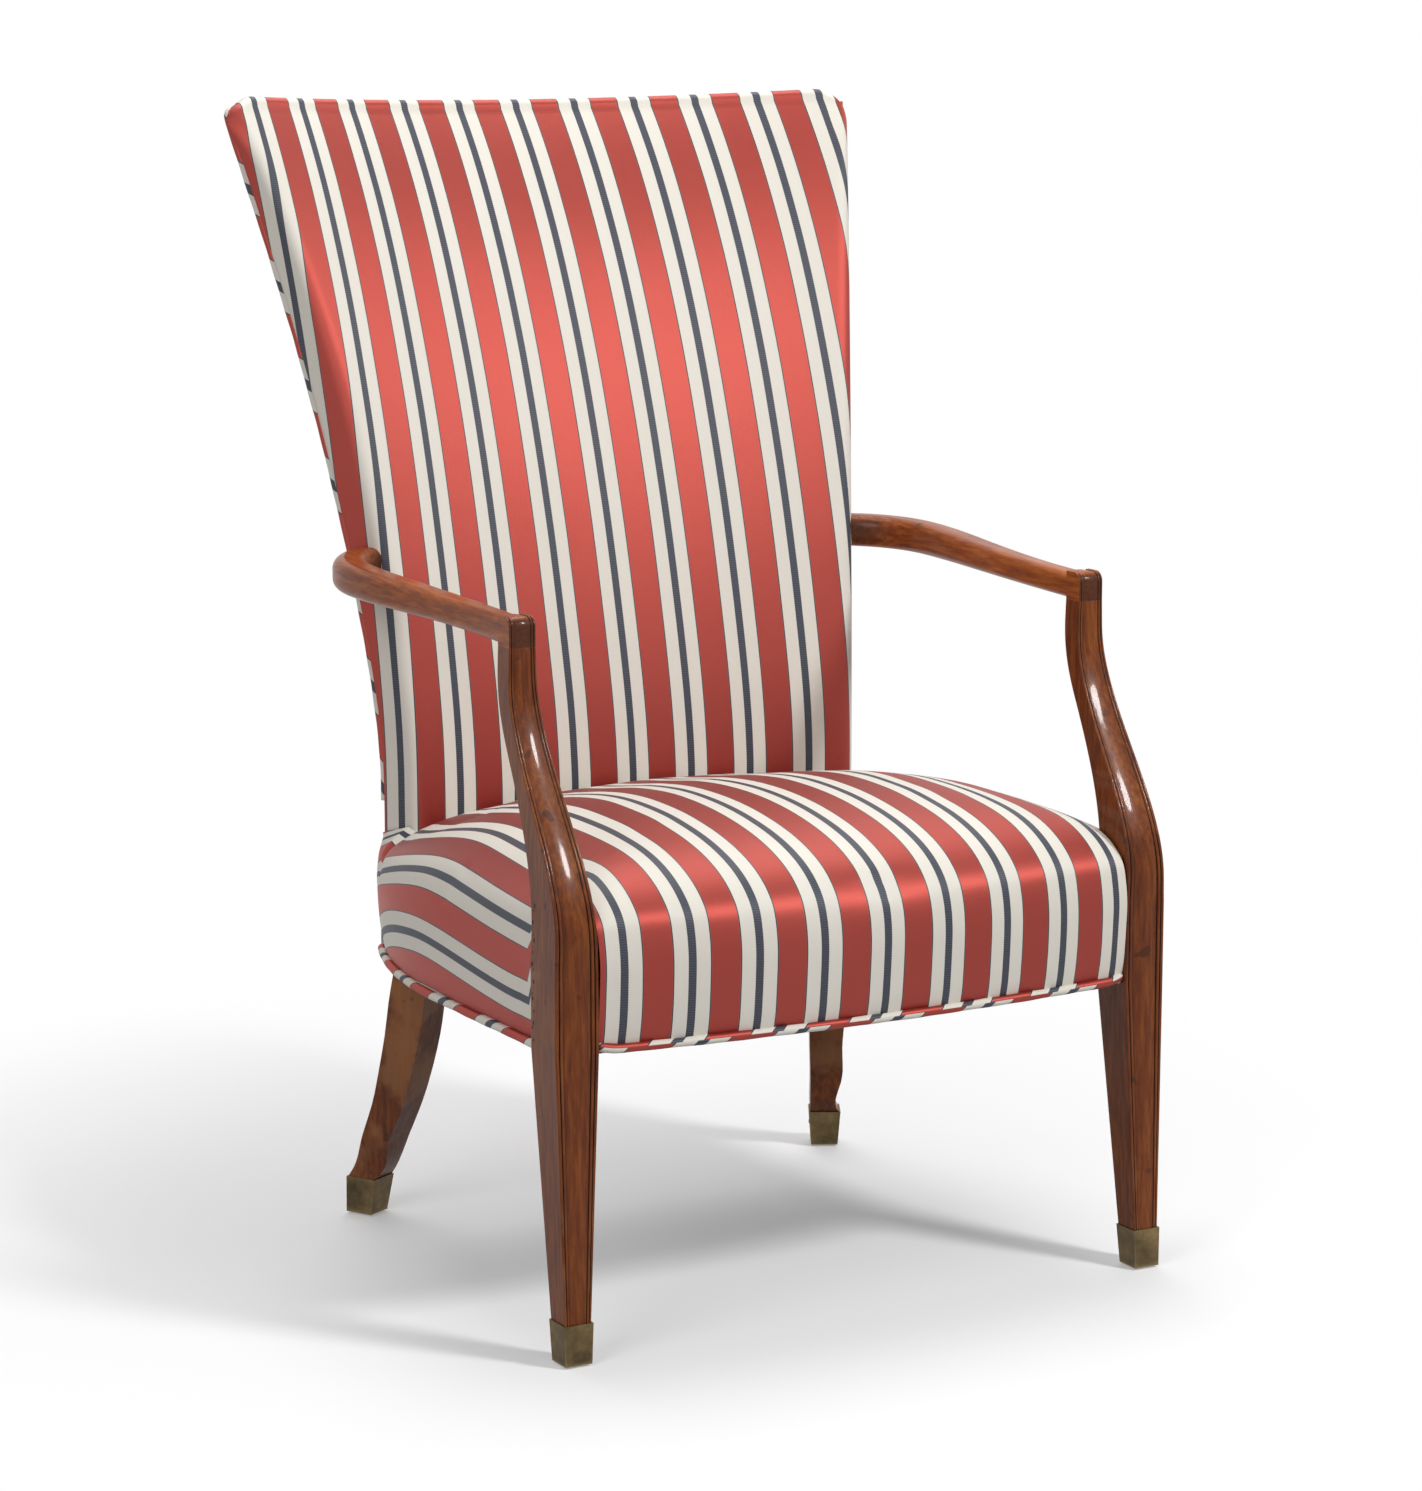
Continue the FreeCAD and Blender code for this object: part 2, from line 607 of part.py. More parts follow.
def block_screws():
    """Two screws through the right corner block, one in each rail."""
    inner = front_section(RAIL_TOP)[1]
    corner_x = SEAT_HALF_WIDTH - RAIL_INSET - RAIL_THICKNESS
    corner_y = seat_front_y(inner, RAIL_INSET) + RAIL_THICKNESS
    z = RAIL_BOTTOM + RAIL_HEIGHT / 2
    reach = 0.3 * BLOCK_LEG
    span = 0.7 * BLOCK_LEG
    to_front = screw(V(corner_x - span, corner_y + reach, z + 8), V(0, -1, 0), reach + 14)
    to_side = screw(V(corner_x - reach, corner_y + span, z - 8), V(1, 0, 0), reach + 14)
    return [to_front, to_side]


# Arms

def arm_ends():
    outer, inner, front, back = front_section(ARM_JOINT_HEIGHT)
    start = V((outer + inner) / 2, (front + back) / 2, ARM_JOINT_HEIGHT + ARM_BLOCK_HEIGHT / 2 - ARM_DROP)
    end = canted(start.z + ARM_RISE, BACK_PAD + 0.35 * STILE_DEPTH, SIDE_PAD)
    return start, end


def arm_point(share, bow):
    start, end = arm_ends()
    run = end - start
    aside = V(run.y, -run.x, 0).normalize()
    return start + run * share + aside * (ARM_BOW * bow)


def rounded_wire(middle, aside, width, height):
    """Upright rounded section of the arm, square to its run."""
    radius = ARM_CORNER_SHARE * min(width, height)
    half_w = width / 2
    half_h = height / 2
    bend = radius * (1 - math.sqrt(0.5))

    def at(across, up):
        return middle + aside * across + UP * up

    corners = ((1, 1), (-1, 1), (-1, -1), (1, -1))
    edges = []
    ends = []
    for sx, sz in corners:
        on_side = at(sx * half_w, sz * (half_h - radius))
        on_top = at(sx * (half_w - radius), sz * half_h)
        turn = at(sx * (half_w - bend), sz * (half_h - bend))
        first, last = (on_side, on_top) if sx * sz > 0 else (on_top, on_side)
        edges.append(arc(first, turn, last))
        ends.append((first, last))
    joined = []
    for index, edge in enumerate(edges):
        joined.append(edge)
        joined.append(line(ends[index][1], ends[(index + 1) % 4][0]))
    return Part.Wire(joined)


def arm_body(grow):
    wires = []
    points = [arm_point(run, bow) for run, bow, wide, high in ARM_PATH]
    for index, point in enumerate(points):
        before = points[max(0, index - 1)]
        after = points[min(len(points) - 1, index + 1)]
        run = after - before
        if index == 0:
            run = V(0, 1, 0)
        aside = V(run.y, -run.x, 0).normalize()
        width = ARM_WIDTH * ARM_PATH[index][2] + 2 * grow
        height = ARM_HEIGHT * ARM_PATH[index][3] + 2 * grow
        wires.append(rounded_wire(point, aside, width, height))
    return loft(wires)


def arm_block():
    """Square front end of the arm over the post, with the reeds rolled over its rounded top."""
    outer, inner, front, back = front_section(ARM_JOINT_HEIGHT)
    low = ARM_JOINT_HEIGHT
    turn_z = low + ARM_BLOCK_HEIGHT - ARM_BLOCK_ROUND
    turn = V(0, front + ARM_BLOCK_ROUND, turn_z)
    section = Part.Face(moulded_wire(low, turn.y))
    section.translate(V(0, 0, turn_z - low))
    upright = section.extrude(V(0, 0, low - turn_z))
    rolled = section.revolve(turn, V(-1, 0, 0), 90)
    top = section.copy()
    top.rotate(turn, V(-1, 0, 0), 90)
    lying = top.extrude(V(0, back - turn.y, 0))
    core = box(V(inner, turn.y, low), V(outer, back, turn_z))
    return core.fuse([upright, rolled, lying])


def arm_screw(grow):
    end = arm_ends()[1]
    head = end - OUT_DIR * STILE_WIDTH
    length = STILE_WIDTH + 24 + grow
    cone = Part.makeCone(SCREW_HEAD_RADIUS + grow, SCREW_RADIUS + grow, SCREW_HEAD, head, OUT_DIR)
    return cone.fuse(Part.makeCylinder(SCREW_RADIUS + grow, length, head, OUT_DIR))


def arm():
    start, end = arm_ends()
    far = SEAT_HALF_WIDTH
    stile = canted_block(start.z - 2 * ARM_HEIGHT, end.z + 2 * ARM_HEIGHT, -far, far, far, SIDE_PAD)
    body = arm_body(0).cut(stile).fuse(arm_block())
    return body.cut(post_tenon(FIT)).cut(arm_screw(FIT))


# Feet

def foot_wire(z, grow, rear):
    if rear:
        return polygon(rear_corners(z, grow))
    outer, inner, front, back = front_section(z)
    return polygon([V(outer + grow, front - grow, z), V(outer + grow, back + grow, z),
                    V(inner - grow, back + grow, z), V(inner - grow, front - grow, z)])


def foot_middle(z, rear):
    if rear:
        corners = rear_corners(z)
        return (corners[0] + corners[2]) * 0.5
    outer, inner, front, back = front_section(z)
    return V((outer + inner) / 2, (front + back) / 2, z)


def ferrule(rear):
    """Tapered square cup round the end of the leg."""
    wall = FIT + FERRULE_WALL
    cup = loft([foot_wire(z, wall, rear) for z in (GLIDE, FERRULE_TOP)], ruled=True)
    room = loft([foot_wire(z, FIT, rear) for z in (FOOT_Z, FERRULE_TOP)], ruled=True)
    return cup.cut(room)


def glide(rear, grow=0.0):
    middle = foot_middle(GLIDE, rear)
    base = V(middle.x, middle.y, 0)
    disc = Part.makeCylinder(GLIDE_RADIUS, GLIDE, base)
    pin = Part.makeCylinder(GLIDE_PIN_RADIUS + grow, GLIDE + GLIDE_PIN + grow, base)
    return pin if grow else disc.fuse(pin)


def ferrule_pin(rear, grow=0.0):
    """Headed pin through the face of the ferrule that looks to the middle of the chair."""
    z = 0.62 * FERRULE_TOP
    middle = foot_middle(z, rear)
    if rear:
        inward = OUT_DIR * -1
        outer, inner = rear_sides(z)
        half = (inner - outer) / 2
    else:
        inward = V(0, 1, 0)
        half = middle.y * -1 + front_section(z)[3]
    face = middle + inward * (half + FIT + FERRULE_WALL)
    shank = Part.makeCylinder(FERRULE_PIN_RADIUS + grow, 10, face, inward * -1)
    if grow:
        return shank
    return shank.fuse(Part.makeCylinder(2 * FERRULE_PIN_RADIUS, 0.8, face, inward))


# Soft layers of the seat

WEB_TOP = RAIL_TOP + 2 * WEB
BURLAP_TOP = WEB_TOP + BURLAP


def seat_cover():
    cover = seat_body(0, 0).cut(seat_body(COVER, 20))
    return cut_all(cover, seat_cuts(SOFT_GAP) + [seat_plate(RAIL_BOTTOM - 40, BURLAP_TOP, RAIL_INSET)])


def seat_stuffing():
    stuffing = seat_body(COVER + GAP, 0)
    tray = seat_plate(RAIL_BOTTOM - 40, BURLAP_TOP + GAP, RAIL_INSET - GAP)
    return cut_all(stuffing, seat_cuts(SOFT_GAP) + [tray])


def seat_burlap():
    sheet = seat_plate(WEB_TOP, BURLAP_TOP, RAIL_INSET + 4)
    return cut_all(sheet, seat_cuts(2 * SOFT_GAP))


def strip_places(half_span, count):
    step = 2 * half_span / count
    return [-half_span + step * (index + 0.5) for index in range(count)]


def seat_webbing_cross():
    """Webbing from side rail to side rail."""
    strips = []
    first = front_section(RAIL_TOP)[3] + 4
    last = BACK_EDGE_Y - 50
    middle = (first + last) / 2
    for place in strip_places((last - first) / 2, 5):
        y = middle + place
        half = SEAT_HALF_WIDTH
        if y + WEB_WIDTH / 2 > SIDE_STRAIGHT_Y:
            half = side_curve(0, side_angle(0, y + WEB_WIDTH / 2))[0]
        half -= RAIL_INSET + 6
        strips.append(box(V(-half, y - WEB_WIDTH / 2, RAIL_TOP), V(half, y + WEB_WIDTH / 2, RAIL_TOP + WEB)))
    return Part.makeCompound(strips)


def seat_webbing_long():
    """Webbing from the front rail to the rear rail, over the cross webbing."""
    strips = []
    inner = front_section(RAIL_TOP)[1]
    for x in strip_places(inner - WEB_WIDTH, 5):
        near = seat_front_y(abs(x) + WEB_WIDTH / 2, RAIL_INSET) + 6
        far = BACK_EDGE_Y - 4
        strips.append(box(V(x - WEB_WIDTH / 2, near, RAIL_TOP + WEB), V(x + WEB_WIDTH / 2, far, WEB_TOP)))
    return Part.makeCompound(strips)


def seat_dust_cover():
    sheet = seat_plate(RAIL_BOTTOM - DUST, RAIL_BOTTOM, RAIL_INSET + 4)
    return cut_all(sheet, seat_cuts(2 * SOFT_GAP))


def tack_places():
    """Middles of the tack heads under the rails."""
    places = []
    middle = RAIL_INSET + RAIL_THICKNESS / 2
    inner = front_section(RAIL_TOP)[1]
    for x in strip_places(inner - 20, 8):
        places.append(V(x, seat_front_y(x, middle), RAIL_BOTTOM - DUST))
    back = front_section(RAIL_TOP)[3]
    side = SEAT_HALF_WIDTH - middle
    for step in range(5):
        y = blend(back + 30, SIDE_STRAIGHT_Y, step / 4)
        places.append(V(side, y, RAIL_BOTTOM - DUST))
        places.append(V(-side, y, RAIL_BOTTOM - DUST))
    return places


def tack(place, grow=0.0):
    shank = Part.makeCylinder(TACK_SHANK_RADIUS + grow, TACK_SHANK + grow, place)
    if grow:
        return shank
    return shank.fuse(Part.makeCylinder(TACK_HEAD_RADIUS, 0.8, place, V(0, 0, -1)))


def tube(path):
    """Round cord along a wire of lines and arcs."""
    first = path.OrderedEdges[0]
    start = first.valueAt(first.FirstParameter)
    along = first.tangentAt(first.FirstParameter)
    ring = Part.Wire([Part.makeCircle(WELT_RADIUS, start, along)])
    return path.makePipeShell([ring], True, False)


def seat_welt():
    """Piping below the edge of the cover: one run at the front and one along each side."""
    inset = RAIL_INSET - GAP - WELT_RADIUS
    z = RAIL_BOTTOM + WELT_RADIUS - 0.4
    outer, inner, front, back = front_section(RAIL_TOP)
    end_x = inner - SOFT_GAP
    end_y = seat_front_y(end_x, inset)
    front_run = Part.Wire([arc(V(-end_x, end_y, z), V(0, SEAT_FRONT_Y + inset, z), V(end_x, end_y, z))])
    side = SEAT_HALF_WIDTH - inset
    angle = side_angle(inset, BACK_EDGE_Y + 0.6 * BACK_RIM)
    half_x, half_y = side_curve(inset, angle / 2)
    last_x, last_y = side_curve(inset, angle)
    side_run = Part.Wire([
        line(V(side, back + SOFT_GAP, z), V(side, SIDE_STRAIGHT_Y, z)),
        arc(V(side, SIDE_STRAIGHT_Y, z), V(half_x, half_y, z), V(last_x, last_y, z))])
    side_tube = tube(side_run)
    return Part.makeCompound([tube(front_run), side_tube, mirrored(side_tube)])


# Soft layers of the back

def arm_room():
    return both(arm_body(SOFT_GAP))


def inside_back_cover():
    cover = back_body(0, BACK_BOTTOM, BACK_RIM)
    return cover.cut(back_body(COVER, BACK_BOTTOM - 20, BACK_RIM + 40)).cut(arm_room())


def back_stuffing():
    stuffing = back_body(COVER + GAP, BACK_BOTTOM, BACK_RIM)
    ahead = BACK_PAD - WEB - BURLAP - 2 * GAP
    room = barrel(BACK_BOTTOM - 60, FRAME_TOP + GAP, ahead, 3 * BACK_THICKNESS, SIDE_PAD - GAP)
    return stuffing.cut(room).cut(arm_room())


def back_burlap():
    behind = BACK_PAD - WEB - GAP
    return barrel(LOWER_RAIL_BOTTOM + 6, FRAME_TOP - 8, behind - BURLAP, behind, SIDE_PAD + 8)


def back_webbing():
    """Upright webbing from the lower rail to the crest rail, close to the rails' front faces."""
    strips = []
    room = BACK_HALF_WIDTH - STILE_INNER - WEB_WIDTH / 2
    for x in strip_places(room, 4):
        wires = []
        for z in back_levels(LOWER_RAIL_BOTTOM + 8, FRAME_TOP - 10):
            near = [barrel_point(x + side * WEB_WIDTH / 2, z, BACK_PAD - WEB) for side in (-1, 0, 1)]
            far = [barrel_point(x + side * WEB_WIDTH / 2, z, BACK_PAD - 0.1) for side in (1, 0, -1)]
            wires.append(Part.Wire([arc(*near), line(near[2], far[0]), arc(*far), line(far[2], near[0])]))
        strips.append(loft(wires))
    return Part.makeCompound(strips)


def outside_back_cover():
    front = BACK_RIM + GAP
    return barrel(RAIL_BOTTOM + 2, PANEL_TOP, front, front + COVER, PANEL_INSET, True)


def back_welt():
    """Piping round the rear edge of the back: one run up each side and one along the crest."""
    depth = BACK_RIM + 2 * GAP + COVER + WELT_RADIUS
    inset = PANEL_INSET + WELT_RADIUS

    def middle(z):
        return dished_point(z, canted(z, barrel_reach(z, depth, inset), inset))

    rings = []
    for z in back_levels(SEAT_LINE, PANEL_TOP - 1.4 * WELT_RADIUS):
        rings.append(Part.Wire([Part.makeCircle(WELT_RADIUS, middle(z))]))
    upright = loft(rings)
    corner = middle(PANEL_TOP)
    crest = dished_point(PANEL_TOP, barrel_point(0, PANEL_TOP, depth))
    run = tube(Part.Wire([arc(V(-corner.x, corner.y, corner.z), crest, corner)]))
    return Part.makeCompound([run, upright, mirrored(upright)])


# All pieces, right-hand ones mirrored to the left

def chair():
    parts = {}
    crossings = []
    for low, high in CROSS_RAILS:
        crossings.append(cross_rail_tenon(low, high, FIT))

    screws = block_screws()
    screw_room = [shape.copy() for shape in screws]
    front_cuts = [front_rail_tenon(FIT), side_rail_front_tenon(FIT), glide(False, FIT), ferrule_pin(False, FIT)]
    rear_cuts = crossings + [side_rail_rear_tenon(FIT), arm_screw(FIT), glide(True, FIT),
                             ferrule_pin(True, FIT)]
    tacks = [tack(place) for place in tack_places()]
    tack_room = Part.makeCompound([tack(place, 0.05) for place in tack_places()])

    sides = {
        "front_post": cut_all(front_post(), front_cuts),
        "rear_post": cut_all(rear_post(), rear_cuts),
        "arm": arm(),
        "side_seat_rail": cut_all(side_rail(), screw_room + [tack_room]),
        "corner_block": cut_all(corner_block(), screw_room),
        "ferrule_front": cut_all(ferrule(False), [glide(False, FIT), ferrule_pin(False, FIT)]),
        "ferrule_rear": cut_all(ferrule(True), [glide(True, FIT), ferrule_pin(True, FIT)]),
    }
    for name, shape in sides.items():
        parts[name + "_right"] = shape
        parts[name + "_left"] = mirrored(shape)

    front_screw_room = screw_room + [mirrored(shape) for shape in screw_room]
    parts["front_seat_rail"] = cut_all(front_rail(), front_screw_room + [tack_room])
    for name, (low, high) in zip(("crest_rail", "lower_back_rail", "rear_seat_rail"), CROSS_RAILS):
        parts[name] = cross_rail(low, high, BACK_PAD, BACK_PAD + STILE_DEPTH)
    parts["corner_block_screws"] = both(Part.makeCompound(screws))
    parts["arm_screws"] = both(arm_screw(0))
    parts["foot_glides"] = both(Part.makeCompound([glide(False), glide(True)]))
    parts["ferrule_pins"] = both(Part.makeCompound([ferrule_pin(False), ferrule_pin(True)]))
    parts["seat_webbing_cross"] = seat_webbing_cross()
    parts["seat_webbing_long"] = seat_webbing_long()
    parts["seat_burlap"] = seat_burlap()
    parts["seat_stuffing"] = seat_stuffing()
    parts["seat_cover"] = seat_cover()
    parts["seat_welt"] = seat_welt()
    parts["dust_cover"] = seat_dust_cover().cut(tack_room)
    parts["cover_tacks"] = Part.makeCompound(tacks)
    parts["back_webbing"] = back_webbing()
    parts["back_burlap"] = back_burlap()
    parts["back_stuffing"] = back_stuffing()
    parts["inside_back_cover"] = inside_back_cover()
    parts["outside_back_cover"] = outside_back_cover()
    parts["back_welt"] = back_welt()
    return parts


def main():
    os.makedirs("parts", exist_ok=True)
    parts = chair()
    whole = Part.makeCompound(list(parts.values())).optimalBoundingBox()
    shift = V(-(whole.XMin + whole.XMax) / 2, -(whole.YMin + whole.YMax) / 2, -whole.ZMin)
    for name, shape in parts.items():
        shape.translate(shift)
        shape.exportStep("parts/" + name + ".step")
        print(name, len(shape.Solids), "solids", round(shape.Volume), shape.isValid())
    print("size", round(whole.XLength, 1), round(whole.YLength, 1), round(whole.ZLength, 1))
    print("shift", round(shift.x, 2), round(shift.y, 2), round(shift.z, 2))


main()
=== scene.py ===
import math
import bpy
import numpy as np
from mathutils import Matrix, Vector
from mathutils.bvhtree import BVHTree


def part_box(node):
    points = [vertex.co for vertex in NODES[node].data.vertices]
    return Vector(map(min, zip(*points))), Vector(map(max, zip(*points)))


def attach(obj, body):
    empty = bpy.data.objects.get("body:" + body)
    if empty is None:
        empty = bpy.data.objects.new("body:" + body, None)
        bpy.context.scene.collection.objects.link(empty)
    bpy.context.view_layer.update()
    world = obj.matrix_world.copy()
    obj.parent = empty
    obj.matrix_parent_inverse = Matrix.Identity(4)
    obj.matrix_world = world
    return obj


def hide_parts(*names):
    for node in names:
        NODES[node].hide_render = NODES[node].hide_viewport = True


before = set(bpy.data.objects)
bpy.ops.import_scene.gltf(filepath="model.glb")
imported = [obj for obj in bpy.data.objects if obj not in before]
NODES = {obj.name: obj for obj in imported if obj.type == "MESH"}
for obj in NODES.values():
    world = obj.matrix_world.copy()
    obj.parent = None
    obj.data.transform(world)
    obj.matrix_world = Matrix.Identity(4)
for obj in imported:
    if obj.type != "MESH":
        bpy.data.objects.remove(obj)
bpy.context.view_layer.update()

# Shapes are worked out in millimetres with Y = 0 at the middle of the front feet, as in the part's source.
# The foremost edge of the glides gives the place of that line in the shared frame.
GLIDE_REACH = 6.88           # from that edge back to the middle of the front feet
FOOT_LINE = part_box("foot_glides")[0][1] * 1000 + GLIDE_REACH

# Striped cloth, measured out from the middle of a navy stripe; each edge softens between two values
STRIPE = 67.0                # one repeat of the pattern
NAVY_EDGE = (3.7, 4.2)
PIN_EDGE = (17.75, 17.95)    # the fine line that borders the red
RED_EDGE = (18.9, 19.2)
RIB_PITCH = 2.3              # ribs across the navy
THREAD_PITCH = 0.9
WANDER = 0.012               # how far the stripes stray, as a share of a repeat
BIAS_SHARE = 0.66            # stripes cut on the bias look this much closer together

# Barrel of the back, with the same values as the part's source
CANT = math.radians(28.5)
BACK_DIR = np.array([math.sin(CANT), math.cos(CANT)])
OUT_DIR = np.array([math.cos(CANT), -math.sin(CANT)])
BACK_HALF_WIDTH = 248.8
BACK_EDGE_Y = 445.1
SEAT_LINE = 442.0
CREST = 1125.0
CREST_DIP = 11.0
BACK_LEAN = 85.0             # straight part of the rake, over the whole back
BACK_CURVE = 117.0           # curved part of the rake
EASE = 0.15                  # share of the height over which the rake starts
CREST_ROLL = 25.0            # extra roll to the back at the crest
SAG_AT_SEAT = 18.0           # depth of the barrel
SAG_GROWTH = 47.0
SAG_ROLL = 21.0
RIM = 43.0                   # the inside cover turns in here
CREST_THINNING = 32.0        # the back is this much thinner at the crest
THIN_FROM = 3.0              # depth from which it gets thinner

# Inside back cover
BACK_BOTTOM = 397.0
BACK_CORNER = 14.0           # rounding between the front and the sides
RIM_TURN = 5.0
CREST_RADIUS = 9.0           # rolled edge along the crest
CREST_TURN_IN = 7.0          # the sides draw in by this much at the crest
TURN_IN_START = 1098.0
SHOULDER_START = 1060.0      # the crest's two ends are rounded off from here up
SHOULDER_DROP = 9.0
SHOULDER_WIDTH = 13.0
SHOULDER_ROUND = 0.75
SIDE_DROP = 8.0
SIDE_LIFT_LOSS = 0.6         # the sides roll over the crest this much less than the front

# Rear panel
PANEL_BOTTOM = 289.0
PANEL_DROP = 13.0            # top of the panel below the crest
PANEL_GAP = 0.9              # behind the rim
PANEL_INSET = 4.0
PANEL_WIDENING = 9.0         # at the foot, where it meets the seat's sides
PANEL_FOOT = 390.0
PANEL_FOOT_RISE = 30.0

# Seat: profile from the tucked lower edge up to the crown, as inset from the widest line and height
SEAT_PROFILE = ((14, 286.5), (10, 285.6), (8, 290), (4, 310), (1, 345), (0, 368), (3, 390), (9, 408),
                (24, 423), (45, 436), (71, 446), (101, 453), (134, 458), (168, 463), (204, 465), (280, 468))
PROFILE_POINTS = 700
CROWN = 468.0
SEAT_SIDE = 329.0            # half width at the widest line
SIDE_STRAIGHT_Y = 250.0
SIDE_CURVE_RADIUS = 572.0
SEAT_FRONT_Y = -27.0
SEAT_FRONT_BOW = 26.0
SEAT_REAR_Y = 463.0
SEAT_REAR_BOW = 18.0
REAR_SHARE = 0.76            # a side ends where the rear line has this share of its half width
NOTCH_INSET = 44.2           # inner face of the front posts, in from the widest line
POST_BACK = 43.4             # rear face of the front posts
FLAT_INSET = 120.0           # the crown is nearly flat from here in
SEAT_FALL = 31.0             # the crown falls by this much towards the back
SEAT_FALL_Y = 215.0
SEAT_FALL_LENGTH = 260.0
FALL_FADE = 110.0            # cloth this far below the crown does not fall
TUCK = 13.0                  # the cloth dips where it goes in under the back
TUCK_WIDTH = 9.0
RIPPLE = 0.7                 # slight unevenness of the stuffing
RIPPLE_TURN = (0.021, 0.017)
RIPPLE_START = (1.3, 0.4)
RIPPLE_FADE = 90.0

# Seat's ears, which run on beside the back
EAR = 44.0
EAR_TUCK = 18.0
EAR_SLOPE = 0.543            # tangent of the back's cant
BACK_CLEAR = 251.0           # half width of the back, with a little room
LEAST_ROOM = 0.05
EAR_TURN_IN = 11.0           # the upper part turns in behind the back
TURN_HEIGHT = 335.0
TURN_RISE = 40.0
TURN_START = 0.6

# Stripes on the seat
SEAT_STRIPE_X = 5.0          # the middle stripe lies this far to the right
LEFT_PULL = 16.0             # the cloth is drawn down beside the left post by this much
PULL_WIDTH = 106.0
PULL_SPREAD = 2.4
PULL_LENGTH = 260.0

# Dust cloth under the seat
DUST_LEVEL = 285.6
DUST_SAG = 7.0
DUST_INSET = 15.0
DUST_REAR_GAP = 8.0
DUST_REAR_HALF = 240.0
DUST_NOTCH_HALF = 283.0      # half width between the front posts
DUST_NOTCH_Y = 46.0
DUST_START_Y = -8.0
DUST_LENGTH = 470.0

# Welts
WELT_RADIUS = 4.4
WELT_SWELLS = ((0.035, 7.0, 0.0), (0.03, 17.0, 1.0))     # share, wave and start of its unevenness
WELT_INSET = 5.3             # middle of the seat's welt, in from the widest line
WELT_LEVEL = 289.8
WELT_HALF = 283.5            # its front run ends at the posts
WELT_END = 262.0             # the ends rise and draw back from here out
WELT_END_LENGTH = 22.0
WELT_END_BACK = 4.0
WELT_END_RISE = 3.0
WELT_SIDE_Y = (44.5, 470.0)
BACK_WELT_GAP = 2.1          # from the rim to the back's welt
BACK_WELT_INSET = 7.4
BACK_WELT_DROP = 12.0        # below the crest
BACK_WELT_START = 8.0        # below the seat line
WELT_CORNER = 9.0
WELT_STEP = 3.0
LONG_RUN_POINTS = 150
SHORT_RUN_POINTS = 120

# Old tack holes on the left front post
HOLE_COUNT = 15
HOLE_SIDES = 12
HOLE_Y = 38.4
HOLE_START = 296.0
HOLE_PITCH = 9.0
HOLE_RADIUS = 1.3
HOLE_LENGTHENING = 1.3
HOLE_PROUD = 0.1             # above the wood
OUTSIDE_X = -420.0           # clear of the chair, on its left

# Stuffing: depth inside the wanted shape where the cloth starts, and most relief kept, in metres
SEAT_STUFFING = (0.0022, 0.0025)
BACK_STUFFING = (0.0018, 0.0015)
STUFFING_PRESSURE = 4.0
HELD_BAND = 0.03             # the cloth is free this far from its held edges
SPREAD_ROUNDS = 30
LAST_FRAME = 20

# Floor, in metres
FLOOR_HALF = 14.0
FLOOR_BOUNCE = (0.46, 0.46, 0.465)
FLOOR_PAPER = (0.92, 0.92, 0.93)
WHITE_MIDDLE = (0.0, 0.05, 0.0)
WHITE_EDGE = (0.45, 1.15)    # it turns white between these distances from there
NEAR_WHITE = 0.24

# Camera, solved from the photograph
PHOTO_HEIGHT = 1491.0        # pixels
PHOTO_FOCAL = 4256.312       # pixels
SENSOR = 36.0
CAMERA_PLACE = (-2004.02, -3297.32, 1229.67)
CAMERA_AHEAD = (0.47906, 0.86009, -0.17534)


def to_metres(points):
    points = np.asarray(points, float).copy()
    points[..., 1] += FOOT_LINE
    return points / 1000.0


def smooth(share):
    share = np.clip(share, 0.0, 1.0)
    return share * share * (3 - 2 * share)


def run_along(points):
    """Length from the first point to each point of a path."""
    return np.concatenate([[0], np.cumsum(np.linalg.norm(np.diff(points, axis=0), axis=1))])


def at_lengths(points, run, places):
    """Points of a path at given lengths along it."""
    return np.stack([np.interp(places, run, points[:, axis]) for axis in range(points.shape[1])], axis=1)


def curve_through(points, count):
    """Evenly spaced points on a smooth curve through a few given points."""
    steps_between = 24
    points = np.asarray(points, float)
    padded = np.vstack([2 * points[0] - points[1], points, 2 * points[-1] - points[-2]])
    dense = []
    for index in range(1, len(padded) - 2):
        before, start, end, after = padded[index - 1:index + 3]
        for step in np.linspace(0, 1, steps_between, endpoint=False):
            dense.append(0.5 * (2 * start + (end - before) * step
                                + (2 * before - 5 * start + 4 * end - after) * step ** 2
                                + (3 * start - before - 3 * end + after) * step ** 3))
    dense.append(points[-1])
    dense = np.array(dense)
    run = run_along(dense)
    return at_lengths(dense, run, np.linspace(0, run[-1], count))


# Barrel of the back

def back_rise(z):
    return max(0.0, (z - SEAT_LINE) / (CREST - SEAT_LINE))


def back_edge(z):
    rise = back_rise(z)
    eased = rise - EASE / 2 if rise > EASE else rise * rise / (2 * EASE)
    run = BACK_LEAN * eased + BACK_CURVE * rise ** 2 + CREST_ROLL * rise ** 6
    return np.array([BACK_HALF_WIDTH, BACK_EDGE_Y]) + BACK_DIR * run


def back_sag(z):
    rise = back_rise(z)
    return SAG_AT_SEAT + SAG_GROWTH * rise + SAG_ROLL * rise ** 5


def thinned(z, depth):
    share = min(1.0, max(0.0, (depth - THIN_FROM) / (RIM - THIN_FROM)))
    return depth - CREST_THINNING * share * back_rise(z) ** 6


def canted(z, depth, inset):
    """A place on the back's side, at a depth behind its front edge and an inset from its outer face."""
    return back_edge(z) + BACK_DIR * depth - OUT_DIR * inset


def barrel_circle(z, depth):
    depth = thinned(z, depth)
    edge = canted(z, depth, 0)
    middle = back_edge(z)[1] + back_sag(z) + depth
    sag = middle - edge[1]
    radius = (edge[0] ** 2 + sag ** 2) / (2 * sag)
    return middle - radius, radius


